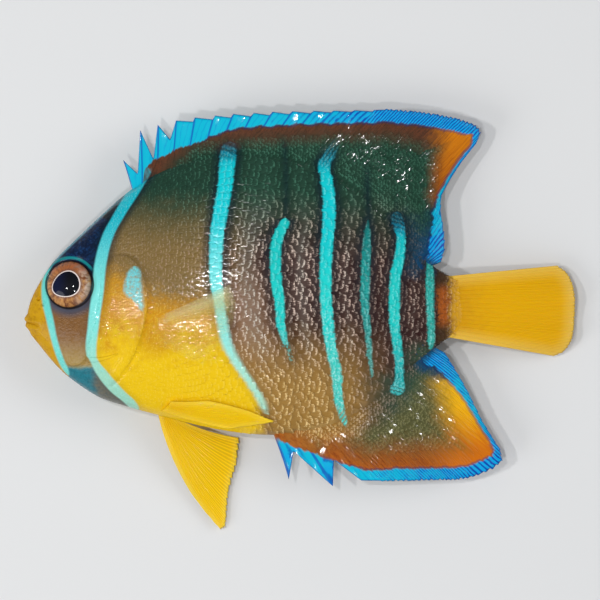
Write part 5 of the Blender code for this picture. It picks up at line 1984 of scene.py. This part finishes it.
# %% Eyes
def eye_material():
    made, k, shader = new_material("eye_gloss")
    x, y, _ = k.split(k.stored("iris"))
    from_x, from_y = k.less(x, PUPIL_PLACE[0]), k.less(y, PUPIL_PLACE[1])
    cosine, sine = math.cos(PUPIL_TURN), math.sin(PUPIL_TURN)
    px = k.times(k.add(k.times(from_x, cosine), k.times(from_y, sine)), 1 / PUPIL_RADII[0])
    py = k.times(k.less(k.times(from_y, cosine), k.times(from_x, sine)), 1 / PUPIL_RADII[1])
    py = k.sum("DIVIDE", py, k.add(1.0, k.times(px, 0.2)))
    pupil = k.sum("SQRT", k.add(k.times(px, px), k.times(py, py)))
    radius = k.sum("SQRT", k.add(k.times(x, x), k.times(y, y)))
    angle = k.sum("ARCTAN2", y, x)
    around = k.vector(k.sum("COSINE", angle), k.sum("SINE", angle), k.times(radius, 0.25))
    fibres = k.noise(around, 5.0, 5.0, 0.7)
    blotch = k.noise(k.vector(x, y, 0.0), 1.3, 3.0)
    copper = k.mix(k.ease(0.35, 0.65, fibres), (0.2, 0.065, 0.025), (0.52, 0.25, 0.08))
    copper = k.mix(k.times(k.ease(0.4, 0.6, blotch), k.ease(0.3, 1.9, x)), copper, (0.58, 0.4, 0.3))
    reddish = k.times(k.ease(0.6, 1.6, y), k.ease(0.35, 0.6, fibres))
    copper = k.mix(k.times(reddish, 0.7), copper, (0.38, 0.07, 0.02))
    shaded = k.times(k.ease(1.6, 2.25, radius), k.ease(0.55, 0.3, fibres, 0.0, 0.5))
    copper = k.mix(shaded, copper, (0.07, 0.02, 0.012))
    colour = k.mix(k.ease(2.29, 2.4, radius), copper, (0.012, 0.008, 0.008))
    ring = k.times(k.ease(0.985, 1.0, pupil), k.ease(1.09, 1.05, pupil))
    colour = k.mix(k.ease(1.35, 1.08, pupil, 0.0, 0.55), colour, (0.1, 0.05, 0.045))
    colour = k.mix(ring, colour, (0.78, 0.68, 0.64))
    # The pupil is near black; its front part is painted bluer, a painted sheen that stands in for a
    # reflection on the eye.
    depth = k.mix(k.ease(0.5, -1.0, from_x), (0.001, 0.0012, 0.004), (0.003, 0.006, 0.03))
    colour = k.mix(k.ease(1.01, 0.98, pupil), colour, depth)
    k.put(shader.inputs["Base Color"], colour)
    relief(k, shader, k.times(fibres, k.ease(1.0, 1.1, pupil)), 0.00003, 0.4)
    wet(shader, 0.5, 0.7, 0.02)
    return made


eye_gloss = eye_material()
finish_piece(eyes[1], eye_gloss, "eye", "eye_left")
finish_piece(eyes[-1], eye_gloss, "eye", "eye_right")
for piece in spines.values():
    finish_piece(piece, skin.data.materials[0], "yellow_skin")

# %% [markdown]
# ## Floor, light and camera
#
# A pale floor, two large soft lights, and three small ones high over the fish, which draw the sparkle
# on the wet scales: a small lamp gives small sharp glints, where a large one would give a haze. The
# camera looks straight down, as in the photo, from far enough away that the fish isn't distorted.

# %% Floor
FLOOR_SIZE = 1.2
bpy.ops.object.select_all(action="DESELECT")
bpy.ops.mesh.primitive_plane_add(size=FLOOR_SIZE, location=(0, 0, 0))
floor = bpy.context.object
floor.name = "floor"
floor_material, k, shader = new_material("pale_floor")
shader.inputs["Base Color"].default_value = (0.66, 0.66, 0.66, 1.0)
shader.inputs["Roughness"].default_value = 0.6
floor.data.materials.append(floor_material)
print("floor:", FLOOR_SIZE, "m wide")


# %% Lights
def soft_light(name, place, size, watts):
    light = bpy.data.lights.new(name, "AREA")
    light.shape = "DISK"
    light.size = size
    light.energy = watts
    lamp = bpy.data.objects.new(name, light)
    bpy.context.scene.collection.objects.link(lamp)
    lamp.location = place
    lamp.rotation_euler = (-Vector(place)).to_track_quat("-Z", "Y").to_euler()
    return lamp


soft_light("big_left", (-0.46, -0.24, 0.3), 0.35, 1.2)
soft_light("big_right", (0.5, 0.1, 0.34), 0.4, 1.35)
soft_light("glint_front", (-0.24, 0.0, 0.4), 0.02, 0.45)
soft_light("glint_rear", (-0.08, 0.045, 0.43), 0.01, 0.35)
soft_light("glint_low", (-0.05, -0.08, 0.43), 0.02, 0.32)
surroundings = bpy.data.worlds.new("studio")
surroundings.use_nodes = True
surroundings.node_tree.nodes["Background"].inputs["Color"].default_value = (0.9, 0.95, 1.0, 1.0)
surroundings.node_tree.nodes["Background"].inputs["Strength"].default_value = 0.28
bpy.context.scene.world = surroundings
bpy.context.scene.view_settings.view_transform = "Standard"
print("lights:", [light.name for light in bpy.data.lights])

# %% Camera
PHOTO_WIDTH = 61.2
VIEW_S = 27.846
VIEW_H = 0.816
LENS = 400.0
SENSOR = 36.0
camera_data = bpy.data.cameras.new("camera")
camera_data.lens = LENS
camera_data.sensor_width = SENSOR
camera = bpy.data.objects.new("camera", camera_data)
bpy.context.scene.collection.objects.link(camera)
distance = PHOTO_WIDTH * LENS / SENSOR
camera.location = Vector(((VIEW_S - CENTRE_S), (VIEW_H - CENTRE_H), distance + MIDPLANE_HEIGHT)) * MM
camera.rotation_euler = (0.0, 0.0, 0.0)
camera_data.clip_start = 0.01
camera_data.clip_end = 10.0
bpy.context.scene.camera = camera
print("camera", round(camera.location.z * 1000), "mm above the floor")
